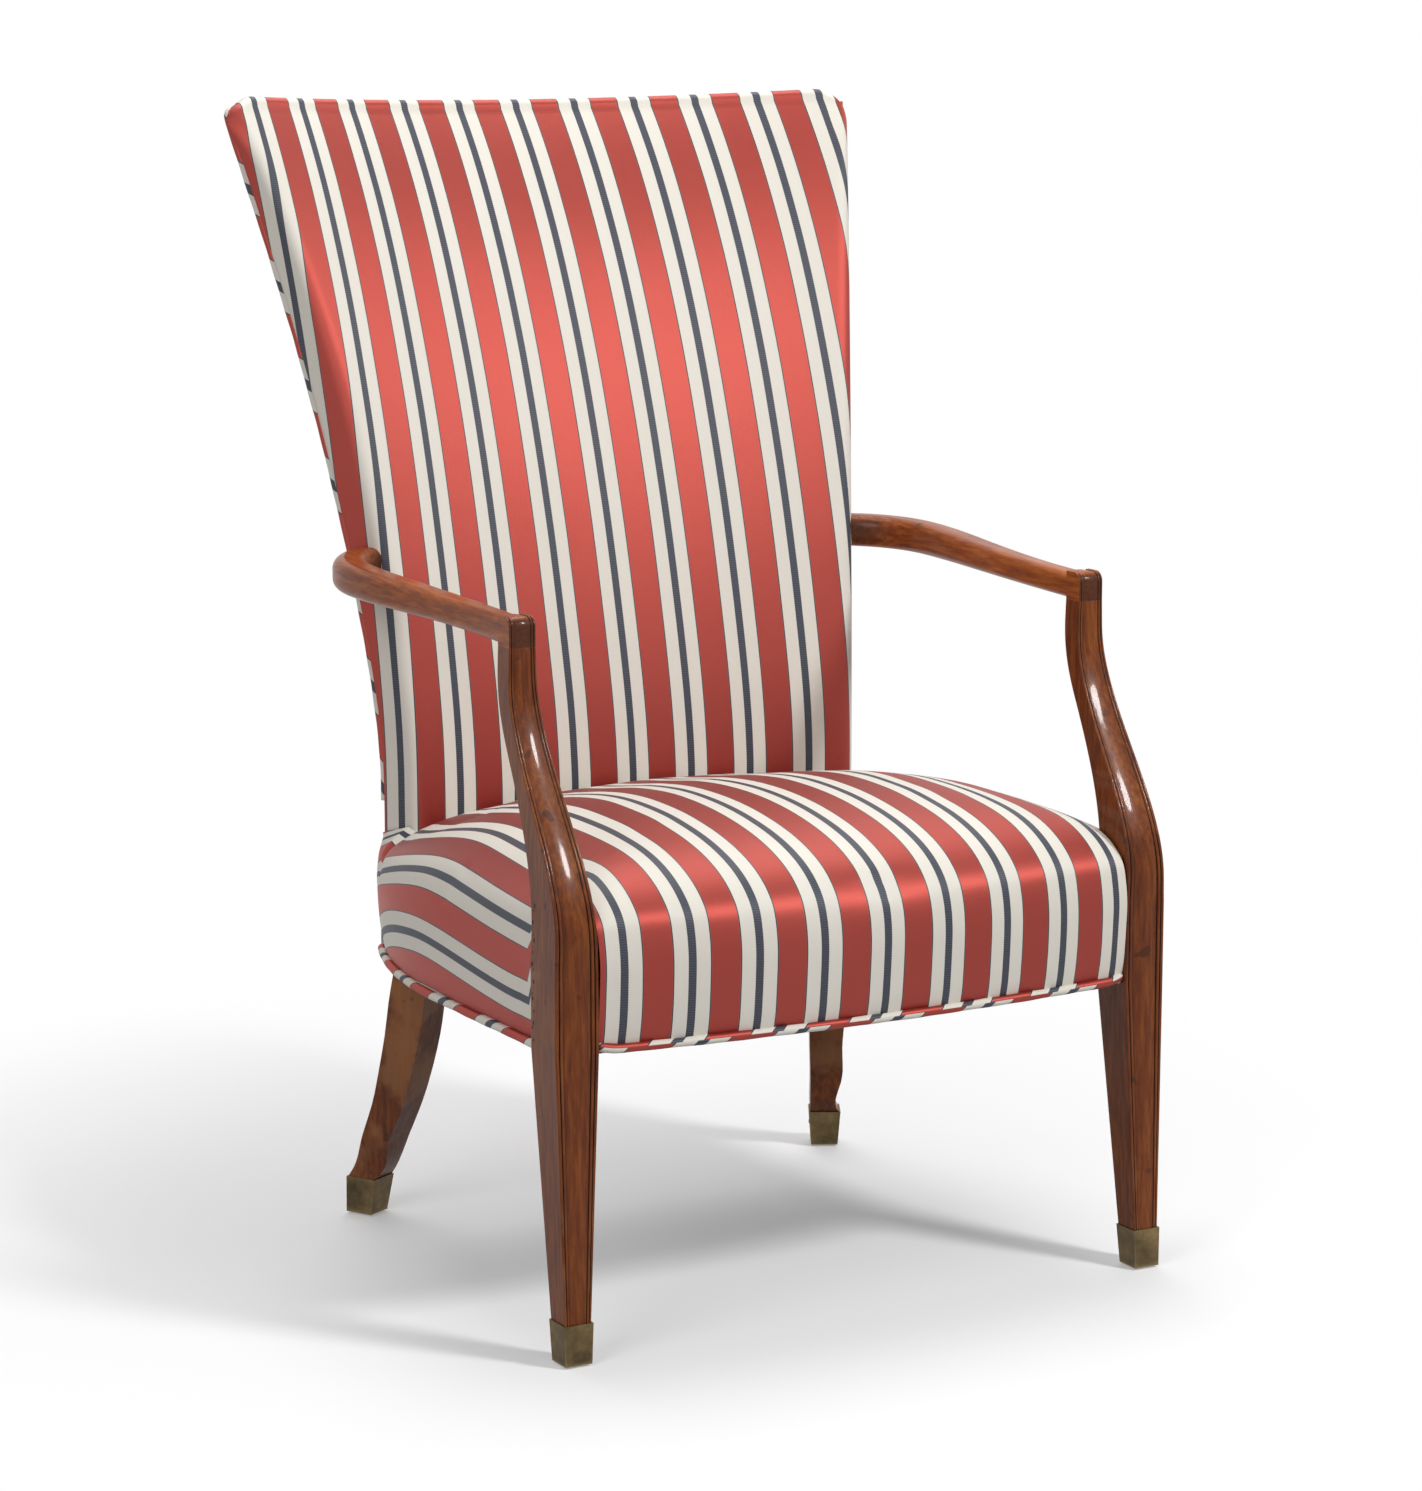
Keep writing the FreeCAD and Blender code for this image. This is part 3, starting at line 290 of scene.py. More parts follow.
def barrel_reach(z, depth, inset):
    """How deep a line at an inset from the side runs before it meets the barrel."""
    centre, radius = barrel_circle(z, depth)
    start = canted(z, 0, inset) - np.array([0, centre])
    lead = start.dot(BACK_DIR)
    return math.sqrt(lead * lead - start.dot(start) + radius * radius) - lead


def barrel_row(z, depth, half, shares):
    """Points across the barrel at one level, at shares of the angle out to a half width."""
    centre, radius = barrel_circle(z, depth)
    span = math.asin(half / radius)
    row = []
    for share in shares:
        y = centre + radius * math.cos(span * share)
        row.append((radius * math.sin(span * share), y, dish(z, y)))
    return row


def dish(z, y):
    """The height of a level, which dips towards the middle of the back near the crest."""
    sag_at_crest = SAG_AT_SEAT + SAG_GROWTH + SAG_ROLL
    return z - CREST_DIP / sag_at_crest * back_rise(z) ** 3 * (y - back_edge(z)[1])


# Mesh helpers

def riding(name, mesh):
    """A new object that rides on the chair's only body."""
    piece = bpy.data.objects.new(name, mesh)
    bpy.context.collection.objects.link(piece)
    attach(piece, "root")
    return piece


def grid_piece(name, points, weave, keep=None, flip=False):
    """A smooth grid mesh in the shared frame, with its cloth coordinates in repeats of the stripe."""
    rows, columns = points.shape[:2]
    vertices = to_metres(points).reshape(-1, 3)
    faces = []
    for row in range(rows - 1):
        for column in range(columns - 1):
            if keep is not None and not keep[row, column]:
                continue
            first = row * columns + column
            face = (first, first + 1, first + columns + 1, first + columns)
            faces.append(face[::-1] if flip else face)
    used = sorted({index for face in faces for index in face})
    order = {old: new for new, old in enumerate(used)}
    mesh = bpy.data.meshes.new(name)
    mesh.from_pydata([tuple(vertices[index]) for index in used], [],
                     [tuple(order[index] for index in face) for face in faces])
    flat = (np.asarray(weave, float) / STRIPE).reshape(-1, 2)
    layer = mesh.uv_layers.new(name="Weave")
    for polygon, face in zip(mesh.polygons, faces):
        polygon.use_smooth = True
        for loop, index in zip(polygon.loop_indices, face):
            layer.data[loop].uv = flat[index]
    mesh.update()
    return riding(name, mesh)


def tube_piece(name, runs, radius, around=14):
    """Round cords along the given runs of points, with length and girth as cloth coordinates."""
    vertices = []
    faces = []
    coordinates = []
    girth = 2 * math.pi * radius / around
    for run in runs:
        run = np.asarray(run, float)
        along = np.gradient(run, axis=0)
        along /= np.linalg.norm(along, axis=1)[:, None]
        length = run_along(run)
        base = len(vertices)
        off_line = [0.13, 0.21, 0.97]    # along none of the cords
        side = np.cross(along[0], off_line)
        side /= np.linalg.norm(side)
        for place, way, distance in zip(run, along, length):
            side = side - way * side.dot(way)
            side /= np.linalg.norm(side)
            other = np.cross(way, side)
            plump = radius
            for share, wave, start in WELT_SWELLS:
                plump += radius * share * math.sin(distance / wave + start)
            for step in range(around):
                angle = 2 * math.pi * step / around
                vertices.append(place + plump * (side * math.cos(angle) + other * math.sin(angle)))
        count = len(run)
        for row in range(count - 1):
            for step in range(around):
                after = (step + 1) % around
                faces.append((base + row * around + step, base + row * around + after,
                              base + (row + 1) * around + after, base + (row + 1) * around + step))
                coordinates.append(((length[row], step * girth), (length[row], (step + 1) * girth),
                                    (length[row + 1], (step + 1) * girth), (length[row + 1], step * girth)))
        faces.append(tuple(base + step for step in reversed(range(around))))
        coordinates.append(((length[0], 0),) * around)
        faces.append(tuple(base + (count - 1) * around + step for step in range(around)))
        coordinates.append(((length[-1], 0),) * around)
    mesh = bpy.data.meshes.new(name)
    mesh.from_pydata([tuple(point) for point in to_metres(np.array(vertices))], [], faces)
    layer = mesh.uv_layers.new(name="Weave")
    for polygon, corners in zip(mesh.polygons, coordinates):
        polygon.use_smooth = len(corners) == 4
        for loop, corner in zip(polygon.loop_indices, corners):
            layer.data[loop].uv = (corner[0] / STRIPE, corner[1] / STRIPE)
    return riding(name, mesh)


def lengths_down(points):
    """Length along each column of a grid, from its first row."""
    steps = np.linalg.norm(np.diff(points, axis=0), axis=2)
    return np.concatenate([np.zeros((1, points.shape[1])), np.cumsum(steps, axis=0)])


def lengths_across(points):
    """Length along each row of a grid, from its middle column."""
    steps = np.linalg.norm(np.diff(points, axis=1), axis=2)
    run = np.concatenate([np.zeros((points.shape[0], 1)), np.cumsum(steps, axis=1)], axis=1)
    return run - run[:, [points.shape[1] // 2]]


def even_weave(points):
    """Cloth coordinates that follow the lengths along a grid's rows and columns."""
    return np.stack([lengths_across(points), lengths_down(points)], axis=2)


# Shader helpers

class Shader:
    """A material's node tree, with short calls for the nodes used here."""

    def __init__(self, name):
        self.material = bpy.data.materials.new(name)
        self.material.use_nodes = True
        self.nodes = self.material.node_tree.nodes
        self.links = self.material.node_tree.links
        self.surface = self.nodes["Principled BSDF"]

    def add(self, kind, **settings):
        node = self.nodes.new(kind)
        for key, value in settings.items():
            setattr(node, key, value)
        return node

    def put(self, socket, value):
        if hasattr(value, "is_output"):
            self.links.new(value, socket)
        elif isinstance(value, tuple) and len(value) == 3 and socket.type == "RGBA":
            socket.default_value = (*value, 1)
        else:
            socket.default_value = value

    def math(self, operation, first, second=0.0, third=None):
        node = self.add("ShaderNodeMath", operation=operation)
        self.put(node.inputs[0], first)
        self.put(node.inputs[1], second)
        if third is not None:
            self.put(node.inputs[2], third)
        return node.outputs[0]

    def step(self, value, low, high):
        """0 below low, 1 above high and smooth between them."""
        node = self.add("ShaderNodeMapRange", interpolation_type="SMOOTHSTEP")
        self.put(node.inputs["Value"], value)
        node.inputs["From Min"].default_value = low
        node.inputs["From Max"].default_value = high
        return node.outputs["Result"]

    def mix(self, share, first, second):
        node = self.add("ShaderNodeMix", data_type="RGBA")
        self.put(node.inputs["Factor"], share)
        colour_a, colour_b = [socket for socket in node.inputs if socket.type == "RGBA"]
        self.put(colour_a, first)
        self.put(colour_b, second)
        return next(socket for socket in node.outputs if socket.type == "RGBA")

    def noise(self, scale, detail=2.0, stretch=(1, 1, 1), rough=0.5):
        coordinates = self.add("ShaderNodeTexCoord")
        mapping = self.add("ShaderNodeMapping")
        mapping.inputs["Scale"].default_value = stretch
        self.links.new(coordinates.outputs["Object"], mapping.inputs["Vector"])
        node = self.add("ShaderNodeTexNoise")
        node.inputs["Scale"].default_value = scale
        node.inputs["Detail"].default_value = detail
        node.inputs["Roughness"].default_value = rough
        self.links.new(mapping.outputs["Vector"], node.inputs["Vector"])
        return node.outputs["Fac"]

    def ramp(self, value, stops):
        node = self.add("ShaderNodeValToRGB")
        self.put(node.inputs["Fac"], value)
        elements = node.color_ramp.elements
        while len(elements) < len(stops):
            elements.new(0.5)
        for element, (place, colour) in zip(elements, stops):
            element.position = place
            element.color = (*colour, 1)
        return node.outputs["Color"]

    def bump(self, height, strength, distance):
        node = self.add("ShaderNodeBump")
        node.inputs["Strength"].default_value = strength
        node.inputs["Distance"].default_value = distance
        self.put(node.inputs["Height"], height)
        return node.outputs["Normal"]

    def set(self, **values):
        for key, value in values.items():
            self.put(self.surface.inputs[key.replace("_", " ")], value)
        return self.material


# Materials

CREAM = (0.715, 0.68, 0.615)
CREAM_SHADE = (0.67, 0.63, 0.555)
CORAL = (0.35, 0.060, 0.046)
CORAL_DEEP = (0.31, 0.047, 0.036)
NAVY = (0.020, 0.024, 0.040)
NAVY_LIGHT = (0.058, 0.063, 0.082)
PIN = (0.022, 0.020, 0.028)
# Tones of the wood's figure, each with its place from dark to light
WOOD_TONES = ((0.30, (0.064, 0.013, 0.0030)), (0.47, (0.138, 0.031, 0.0055)),
              (0.60, (0.210, 0.055, 0.0085)), (0.75, (0.29, 0.092, 0.016)))
PORE_TONE = (0.020, 0.006, 0.003)
RUBBED_TONE = (0.36, 0.15, 0.055)
PAINTED_GROOVE_SHADE = (0.009, 0.004, 0.0025)
# Painted shade: nearly black, laid into the hollows and grooves of the wood
END_GRAIN_TONE = (0.030, 0.010, 0.005)


def striped_satin(name, bias=False):
    """Satin with coral bands, ribbed navy stripes and fine pin lines on a cream ground."""
    shade = Shader(name)
    weave = shade.add("ShaderNodeUVMap", uv_map="Weave")
    split = shade.add("ShaderNodeSeparateXYZ")
    shade.links.new(weave.outputs["UV"], split.inputs["Vector"])
    across = split.outputs["X"]
    along = split.outputs["Y"]
    if bias:
        lean = shade.math("ADD", across, along)
        across = shade.math("MULTIPLY", lean, BIAS_SHARE)
    wander = shade.noise(scale=9.0, detail=1.0)
    wander = shade.math("MULTIPLY_ADD", wander, WANDER, -WANDER / 2)
    across = shade.math("ADD", across, wander)
    share = shade.math("FRACT", shade.math("ADD", across, 0.5))
    away = shade.math("MULTIPLY", shade.math("ABSOLUTE", shade.math("SUBTRACT", share, 0.5)), STRIPE)
    red = shade.step(away, *RED_EDGE)
    pin = shade.math("MULTIPLY", shade.step(away, *PIN_EDGE), shade.math("SUBTRACT", 1.0, red))
    navy = shade.math("SUBTRACT", 1.0, shade.step(away, *NAVY_EDGE))
    rib_wave = shade.math("SINE", shade.math("MULTIPLY", along, 2 * math.pi * STRIPE / RIB_PITCH))
    rib = shade.math("MULTIPLY_ADD", rib_wave, 0.5, 0.5)
    patch = shade.noise(scale=6.0, detail=3.0)
    thread = shade.noise(scale=160.0, detail=2.0, stretch=(1, 1, 0.2))
    cream = shade.mix(patch, CREAM, CREAM_SHADE)
    coral = shade.mix(patch, CORAL, CORAL_DEEP)
    dark = shade.mix(rib, NAVY, NAVY_LIGHT)
    colour = shade.mix(red, cream, coral)
    colour = shade.mix(pin, colour, PIN)
    colour = shade.mix(navy, colour, dark)
    thread_turn = 2 * math.pi * STRIPE / THREAD_PITCH
    warp = shade.math("SINE", shade.math("MULTIPLY", split.outputs["X"], thread_turn))
    weft = shade.math("SINE", shade.math("MULTIPLY", along, thread_turn))
    height = shade.math("ADD", shade.math("MULTIPLY", warp, weft), shade.math("MULTIPLY", thread, 1.5))
    ribs = shade.math("MULTIPLY", rib_wave, navy)
    height = shade.math("ADD", height, shade.math("MULTIPLY", ribs, 2.0))
    rough = shade.math("MULTIPLY_ADD", red, -0.08, 0.60)
    floats = shade.add("ShaderNodeTangent", direction_type="UV_MAP", uv_map="Weave")
    return shade.set(Base_Color=colour, Roughness=rough, Metallic=shade.math("MULTIPLY", red, 0.80),
                     Anisotropic=0.72, Tangent=floats.outputs[0],
                     Specular_IOR_Level=0.5, Sheen_Weight=0.03, Sheen_Roughness=0.5,
                     Normal=shade.bump(height, strength=0.10, distance=0.0006))


def mahogany(name, stretch, lightness=1.0, end_grain=0.0):
    """Polished mahogany with grain along one axis, darker pores, rubbed edges, small dents and painted
    shade in its hollows.

    Wood whose grain runs front to back shows darker end grain on the faces turned to the front.
    """
    shade = Shader(name)
    figure = shade.noise(scale=3.2, detail=3.0, stretch=stretch)
    grain = shade.noise(scale=26.0, detail=5.0, stretch=stretch, rough=0.6)
    pores = shade.noise(scale=120.0, detail=3.0, stretch=stretch, rough=0.7)
    mixed = shade.math("ADD", shade.math("MULTIPLY", figure, 0.35), shade.math("MULTIPLY", grain, 0.65))
    stops = [(place, tuple(part * lightness for part in tone)) for place, tone in WOOD_TONES]
    colour = shade.ramp(mixed, stops)
    pore = shade.math("SUBTRACT", 1.0, shade.step(pores, 0.28, 0.42))
    colour = shade.mix(shade.math("MULTIPLY", pore, 0.6), colour, PORE_TONE)
    geometry = shade.add("ShaderNodeNewGeometry")
    rub = shade.noise(scale=22.0, detail=3.0)
    edge = shade.step(geometry.outputs["Pointiness"], 0.53, 0.62)
    edge = shade.math("MULTIPLY", edge, shade.step(rub, 0.42, 0.62))
    colour = shade.mix(shade.math("MULTIPLY", edge, 0.55), colour, RUBBED_TONE)
    # Painted shade: the wood turns nearly black where ambient occlusion finds hollows, such as the grooves
    # between the reeds
    shelter = shade.add("ShaderNodeAmbientOcclusion", samples=8, only_local=True)
    shelter.inputs["Distance"].default_value = 0.009
    groove_shade = shade.math("SUBTRACT", 1.0, shade.step(shelter.outputs["AO"], 0.55, 0.97))
    colour = shade.mix(shade.math("MULTIPLY", groove_shade, 0.97), colour, PAINTED_GROOVE_SHADE)
    facing = shade.add("ShaderNodeSeparateXYZ")
    shade.links.new(geometry.outputs["Normal"], facing.inputs["Vector"])
    ends = shade.step(shade.math("MULTIPLY", facing.outputs["Y"], -1.0), 0.30, 0.85)
    colour = shade.mix(shade.math("MULTIPLY", ends, end_grain), colour, END_GRAIN_TONE)
    dents = shade.noise(scale=46.0, detail=1.0)
    dent = shade.step(dents, 0.70, 0.76)
    colour = shade.mix(shade.math("MULTIPLY", dent, 0.6), colour, END_GRAIN_TONE)
    polish = shade.noise(scale=14.0, detail=3.0)
    rough = shade.math("MULTIPLY_ADD", polish, 0.20, 0.24)
    height = shade.math("SUBTRACT", shade.math("MULTIPLY", pore, -0.4), shade.math("MULTIPLY", dent, 0.8))
    return shade.set(Base_Color=colour, Roughness=rough, Specular_IOR_Level=0.10,
                     Coat_Weight=0.18, Coat_Roughness=0.08,
                     Normal=shade.bump(height, strength=0.25, distance=0.0008))


def patinated_brass(name):
    shade = Shader(name)
    stain = shade.noise(scale=24.0, detail=5.0, rough=0.65)
    colour = shade.ramp(stain, ((0.32, (0.060, 0.044, 0.022)), (0.52, (0.150, 0.105, 0.048)),
                                (0.70, (0.28, 0.20, 0.092))))
    geometry = shade.add("ShaderNodeNewGeometry")
    edge = shade.step(geometry.outputs["Pointiness"], 0.53, 0.64)
    colour = shade.mix(shade.math("MULTIPLY", edge, 0.6), colour, (0.42, 0.32, 0.17))
    rough = shade.math("MULTIPLY_ADD", stain, 0.25, 0.33)
    pits = shade.noise(scale=180.0, detail=3.0)
    return shade.set(Base_Color=colour, Metallic=0.85, Roughness=rough,
                     Normal=shade.bump(pits, strength=0.15, distance=0.0005))


def plain_cloth(name, light, dark, pitch):
    """Coarse plain weave for webbing, burlap and the dust cover."""
    shade = Shader(name)
    coordinates = shade.add("ShaderNodeTexCoord")
    split = shade.add("ShaderNodeSeparateXYZ")
    shade.links.new(coordinates.outputs["Object"], split.inputs["Vector"])
    waves = []
    for axis in ("X", "Y"):
        turn = shade.math("MULTIPLY", split.outputs[axis], 2 * math.pi / pitch)
        waves.append(shade.math("SINE", turn))
    check = shade.math("MULTIPLY_ADD", shade.math("MULTIPLY", waves[0], waves[1]), 0.5, 0.5)
    slubs = shade.noise(scale=40.0, detail=3.0)
    tone = shade.math("MULTIPLY", check, slubs)
    colour = shade.mix(tone, dark, light)
    return shade.set(Base_Color=colour, Roughness=0.9,
                     Normal=shade.bump(check, strength=0.3, distance=0.0006))


def sawn_wood(name, stretch):
    shade = Shader(name)
    grain = shade.noise(scale=30.0, detail=5.0, stretch=stretch, rough=0.6)
    colour = shade.ramp(grain, ((0.3, (0.10, 0.052, 0.024)), (0.55, (0.16, 0.088, 0.042)),
                                (0.75, (0.23, 0.135, 0.068))))
    return shade.set(Base_Color=colour, Roughness=0.7,
                     Normal=shade.bump(grain, strength=0.3, distance=0.001))


# Each tack hole is a flat disc with no depth, only darker in colour than the wood around it
def dark_hole_disc(name):
    shade = Shader(name)
    mottle = shade.noise(scale=400.0, detail=3.0)
    colour = shade.mix(mottle, (0.010, 0.005, 0.003), (0.035, 0.016, 0.008))
    return shade.set(Base_Color=colour, Roughness=0.9)


def dull_steel(name):
    shade = Shader(name)
    stain = shade.noise(scale=60.0, detail=4.0)
    colour = shade.ramp(stain, ((0.35, (0.20, 0.19, 0.18)), (0.65, (0.46, 0.45, 0.43))))
    return shade.set(Base_Color=colour, Metallic=0.9, Roughness=shade.math("MULTIPLY_ADD", stain, 0.3, 0.3))


SATIN = striped_satin("striped_satin")
BIAS = striped_satin("bias_welt", bias=True)
POST_WOOD = mahogany("mahogany_upright", stretch=(9, 9, 0.9))
ARM_WOOD = mahogany("mahogany_arm", stretch=(9, 0.9, 9), lightness=1.75, end_grain=0.8)
BRASS = patinated_brass("patinated_brass")
LINEN = plain_cloth("linen", light=(0.52, 0.42, 0.27), dark=(0.33, 0.25, 0.15), pitch=0.003)
CAMBRIC = plain_cloth("black_cambric", light=(0.035, 0.034, 0.033), dark=(0.012, 0.012, 0.012), pitch=0.002)
INNER_WOOD = sawn_wood("inner_wood", stretch=(1, 8, 8))
STEEL = dull_steel("dull_steel")
HOLE = dark_hole_disc("tack_hole")


def finish_of(name):
    """The material of a CAD node, by the node's name."""
    if name.startswith(("front_post", "rear_post")):
        return POST_WOOD
    if name in ("arm_left", "arm_right"):
        return ARM_WOOD
    if name.startswith("ferrule"):
        return BRASS
    if "webbing" in name or "burlap" in name or "stuffing" in name:
        return LINEN
    if "rail" in name or name in ("corner_block_left", "corner_block_right"):
        return INNER_WOOD
    if name == "dust_cover":
        return CAMBRIC
    if name in ("seat_welt", "back_welt"):
        return BIAS
    if name in ("seat_cover", "inside_back_cover", "outside_back_cover"):
        return SATIN
    return STEEL


for name, node in NODES.items():
    if node.type == "MESH":
        if not node.material_slots:
            node.data.materials.append(finish_of(name))
        for place in node.material_slots:
            place.material = finish_of(name)


# Seat

PROFILE = curve_through(SEAT_PROFILE, PROFILE_POINTS)
PROFILE_RUN = run_along(PROFILE)
WIDEST = int(np.argmin(PROFILE[:, 0]))
UPPER = PROFILE[WIDEST:]
UPPER_RUN = PROFILE_RUN[WIDEST:]
NOTCH_RUN = np.interp(NOTCH_INSET, UPPER[:, 0], UPPER_RUN)
FLAT_RUN = np.interp(FLAT_INSET, UPPER[:, 0], UPPER_RUN)
WALL_COLUMNS = 34
SHOULDER_STEPS = 9
MIDDLE_STEPS = 49
FRONT_ROWS = 40
REAR_STEPS = 42
EAR_STEPS = 9


def profile(place):
    """Inset and height at a length along the seat's profile."""
    return np.interp(place, PROFILE_RUN, PROFILE[:, 0]), np.interp(place, PROFILE_RUN, PROFILE[:, 1])


def crown_drop(inset):
    return float(CROWN - np.interp(inset, UPPER[:, 0], UPPER[:, 1]))


def side_line(y):
    if y <= SIDE_STRAIGHT_Y:
        return SEAT_SIDE
    return SEAT_SIDE - SIDE_CURVE_RADIUS + math.sqrt(SIDE_CURVE_RADIUS ** 2 - (y - SIDE_STRAIGHT_Y) ** 2)


def front_line(x):
    half = min(abs(x), SEAT_SIDE - NOTCH_INSET)
    radius = (SEAT_SIDE ** 2 + SEAT_FRONT_BOW ** 2) / (2 * SEAT_FRONT_BOW)
    return SEAT_FRONT_Y + radius - math.sqrt(radius * radius - half * half)


def rear_line(x):
    return SEAT_REAR_Y - SEAT_REAR_BOW * (min(abs(x), BACK_HALF_WIDTH) / BACK_HALF_WIDTH) ** 2


def seat_columns():
    """Columns as kind, side and place: wall and shoulder, the middle, then shoulder and wall."""
    wall = np.linspace(0, NOTCH_RUN, WALL_COLUMNS)
    places = np.concatenate([wall, np.linspace(NOTCH_RUN, FLAT_RUN, SHOULDER_STEPS)[1:]])
    columns = [("side", -1, place) for place in places]
    for share in np.linspace(-1, 1, MIDDLE_STEPS)[1:-1]:
        columns.append(("middle", -1 if share < 0 else 1, share))
    columns += [("side", 1, place) for place in places[::-1]]
    return columns


def seat_rows():
    """Rows as kind and place: up the front, on to the back, then the ears beside it."""
    post_inset = POST_BACK - front_line(SEAT_SIDE - NOTCH_INSET)
    post_run = np.interp(post_inset, UPPER[:, 0], UPPER_RUN)
    rows = [("front", place) for place in np.linspace(0, post_run, FRONT_ROWS)]
    rows += [("front", place) for place in np.linspace(post_run, FLAT_RUN, SHOULDER_STEPS)[1:]]
    rows += [("rear", share) for share in np.linspace(0, 1, REAR_STEPS)[1:]]
    rows += [("ear", share) for share in np.linspace(0, 1, EAR_STEPS)[1:]]
    return rows


def ear_half(side, y, inset, height, share):
    """Half width of an ear, which narrows beside the back and turns in behind it."""
    if height > PROFILE[WIDEST, 1]:
        room = (side - BACK_CLEAR - EAR_SLOPE * (y - BACK_EDGE_Y)) / NOTCH_INSET
        inset = inset * max(LEAST_ROOM, room)
    turn_in = EAR_TURN_IN * smooth((height - TURN_HEIGHT) / TURN_RISE)
    return side - inset - turn_in * max(0.0, (share - TURN_START) / (1 - TURN_START)) ** 2


def drawn_down(inner, behind):
    """How far the cloth is drawn down, at a distance inside and behind the left front post."""
    near = smooth((PULL_WIDTH - inner) / PULL_WIDTH) * smooth(behind / (1.0 + PULL_SPREAD * inner))
    return LEFT_PULL * near * (1.0 - smooth(behind / PULL_LENGTH))


def seat_point(row, column):
    """One point of the seat, and its distance across the cloth from the middle stripe."""
    row_kind, row_value = row
    kind, sign, value = column
    # Depth, at a first guess of the half width
    if kind == "side":
        inset, height = profile(value)
        half = SEAT_SIDE - inset
    else:
        half = abs(value) * (SEAT_SIDE - FLAT_INSET)
    front = front_line(half)
    if row_kind == "front":
        front_inset, front_height = profile(row_value)
        y = front + front_inset
        front_drop = CROWN - front_height
    else:
        start = front + FLAT_INSET
        end = rear_line(half * REAR_SHARE if kind == "side" else half)
        y = end + EAR * row_value if row_kind == "ear" else start + (end - start) * row_value
        front_drop = crown_drop(y - front)
    # Half width at that depth, since the side curves in
    side = side_line(y)
    if kind == "middle":
        x = abs(value) * (side - FLAT_INSET)
        side_drop = crown_drop(side - x)
        across = sign * x
    else:
        x = ear_half(side, y, inset, height, row_value) if row_kind == "ear" else side - inset
        side_drop = CROWN - height
        across = sign * (side - FLAT_INSET + FLAT_RUN - value)
    across -= SEAT_STRIPE_X
    if sign < 0:
        across += drawn_down(max(0.0, side - x - NOTCH_INSET), y - POST_BACK)
    # Height
    drop = (side_drop ** 3 + front_drop ** 3) ** (1 / 3)
    fall = SEAT_FALL * smooth((y - SEAT_FALL_Y) / SEAT_FALL_LENGTH)
    if row_kind == "ear":
        tuck = EAR_TUCK * row_value
    else:
        tuck = TUCK * math.exp(-((rear_line(x) - y) / TUCK_WIDTH) ** 2)
    ripple = RIPPLE * max(0.0, 1 - drop / RIPPLE_FADE)
    for place, turn, begin in zip((x, y), RIPPLE_TURN, RIPPLE_START):
        ripple *= math.sin(place * turn + begin)
    z = CROWN - drop - (fall + tuck) * max(0.0, 1 - drop / FALL_FADE) + ripple
    return (sign * x, y, z), across


def seat_piece():
    rows = seat_rows()
    columns = seat_columns()
    points = np.zeros((len(rows), len(columns), 3))
    across = np.zeros((len(rows), len(columns)))
    for r, row in enumerate(rows):
        for c, column in enumerate(columns):
            points[r, c], across[r, c] = seat_point(row, column)
    # The walls start behind the front posts, and only they run on as ears
    cells = np.arange(len(columns) - 1)
    in_wall = (cells < WALL_COLUMNS - 1) | (cells >= len(columns) - WALL_COLUMNS)
    keep = np.ones((len(rows) - 1, len(columns) - 1), bool)
    keep[:FRONT_ROWS - 1, in_wall] = False
    keep[-(EAR_STEPS - 1):, ~in_wall] = False
    weave = np.stack([across, lengths_down(points)], axis=2)
    piece = grid_piece("seat_upholstery", points, weave, keep)
    piece.data.materials.append(SATIN)
    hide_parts("seat_cover", "seat_stuffing")
    return piece


# Back: front, rounded side edges and sides across; from the seat up and over the crest along

BACK_LEVELS = 120
CREST_STEPS = 10
TURN_STEPS = 11
SIDE_STEPS = 9
BACK_FRONT_COLUMNS = 97


def back_columns():
    """Columns as kind, side and place, from the left rim to the right one."""
    edge = [("turn", step) for step in np.linspace(0, 1, TURN_STEPS)[1:]]
    edge += [("side", step) for step in np.linspace(0, 1, SIDE_STEPS)[1:]]
    edge += [("rim", 1.0)]
    columns = [(kind, -1, step) for kind, step in reversed(edge)]
    columns += [("front", 0, share) for share in np.linspace(-1, 1, BACK_FRONT_COLUMNS)]
    columns += [(kind, 1, step) for kind, step in edge]
    return columns


def back_rows():
    """Rows as level and angle over the rolled crest, with one last row a little way down behind it."""
    shoulder = CREST - CREST_RADIUS
    rows = [(z, 0.0) for z in np.linspace(BACK_BOTTOM, shoulder - 1, BACK_LEVELS)]
    rows += [(shoulder, angle) for angle in np.linspace(0, math.pi, CREST_STEPS)[1:]]
    rows += [(shoulder - RIM_TURN, math.pi)]
    return rows


def back_front_point(level, rolled, lift, inset, near_crest, share):
    """A point on the front of the back, at a share of the angle out to its rounded edge."""
    edge = canted(level, barrel_reach(level, 0, inset), inset)
    centre, radius = barrel_circle(level, 0)
    span = math.asin(edge[0] / radius)
    out = abs(share)
    x = radius * math.sin(span * share) + rolled * BACK_DIR[0] * share
    y = centre + radius * math.cos(span * share) + rolled * (1 + (BACK_DIR[1] - 1) * out)
    past = max(0.0, 1 - (1 - out) * span * radius / SHOULDER_WIDTH)
    rounding = SHOULDER_DROP * (1 - math.sqrt(1 - SHOULDER_ROUND * past * past))
    return x, y, dish(level, y - rolled) + lift - near_crest * rounding


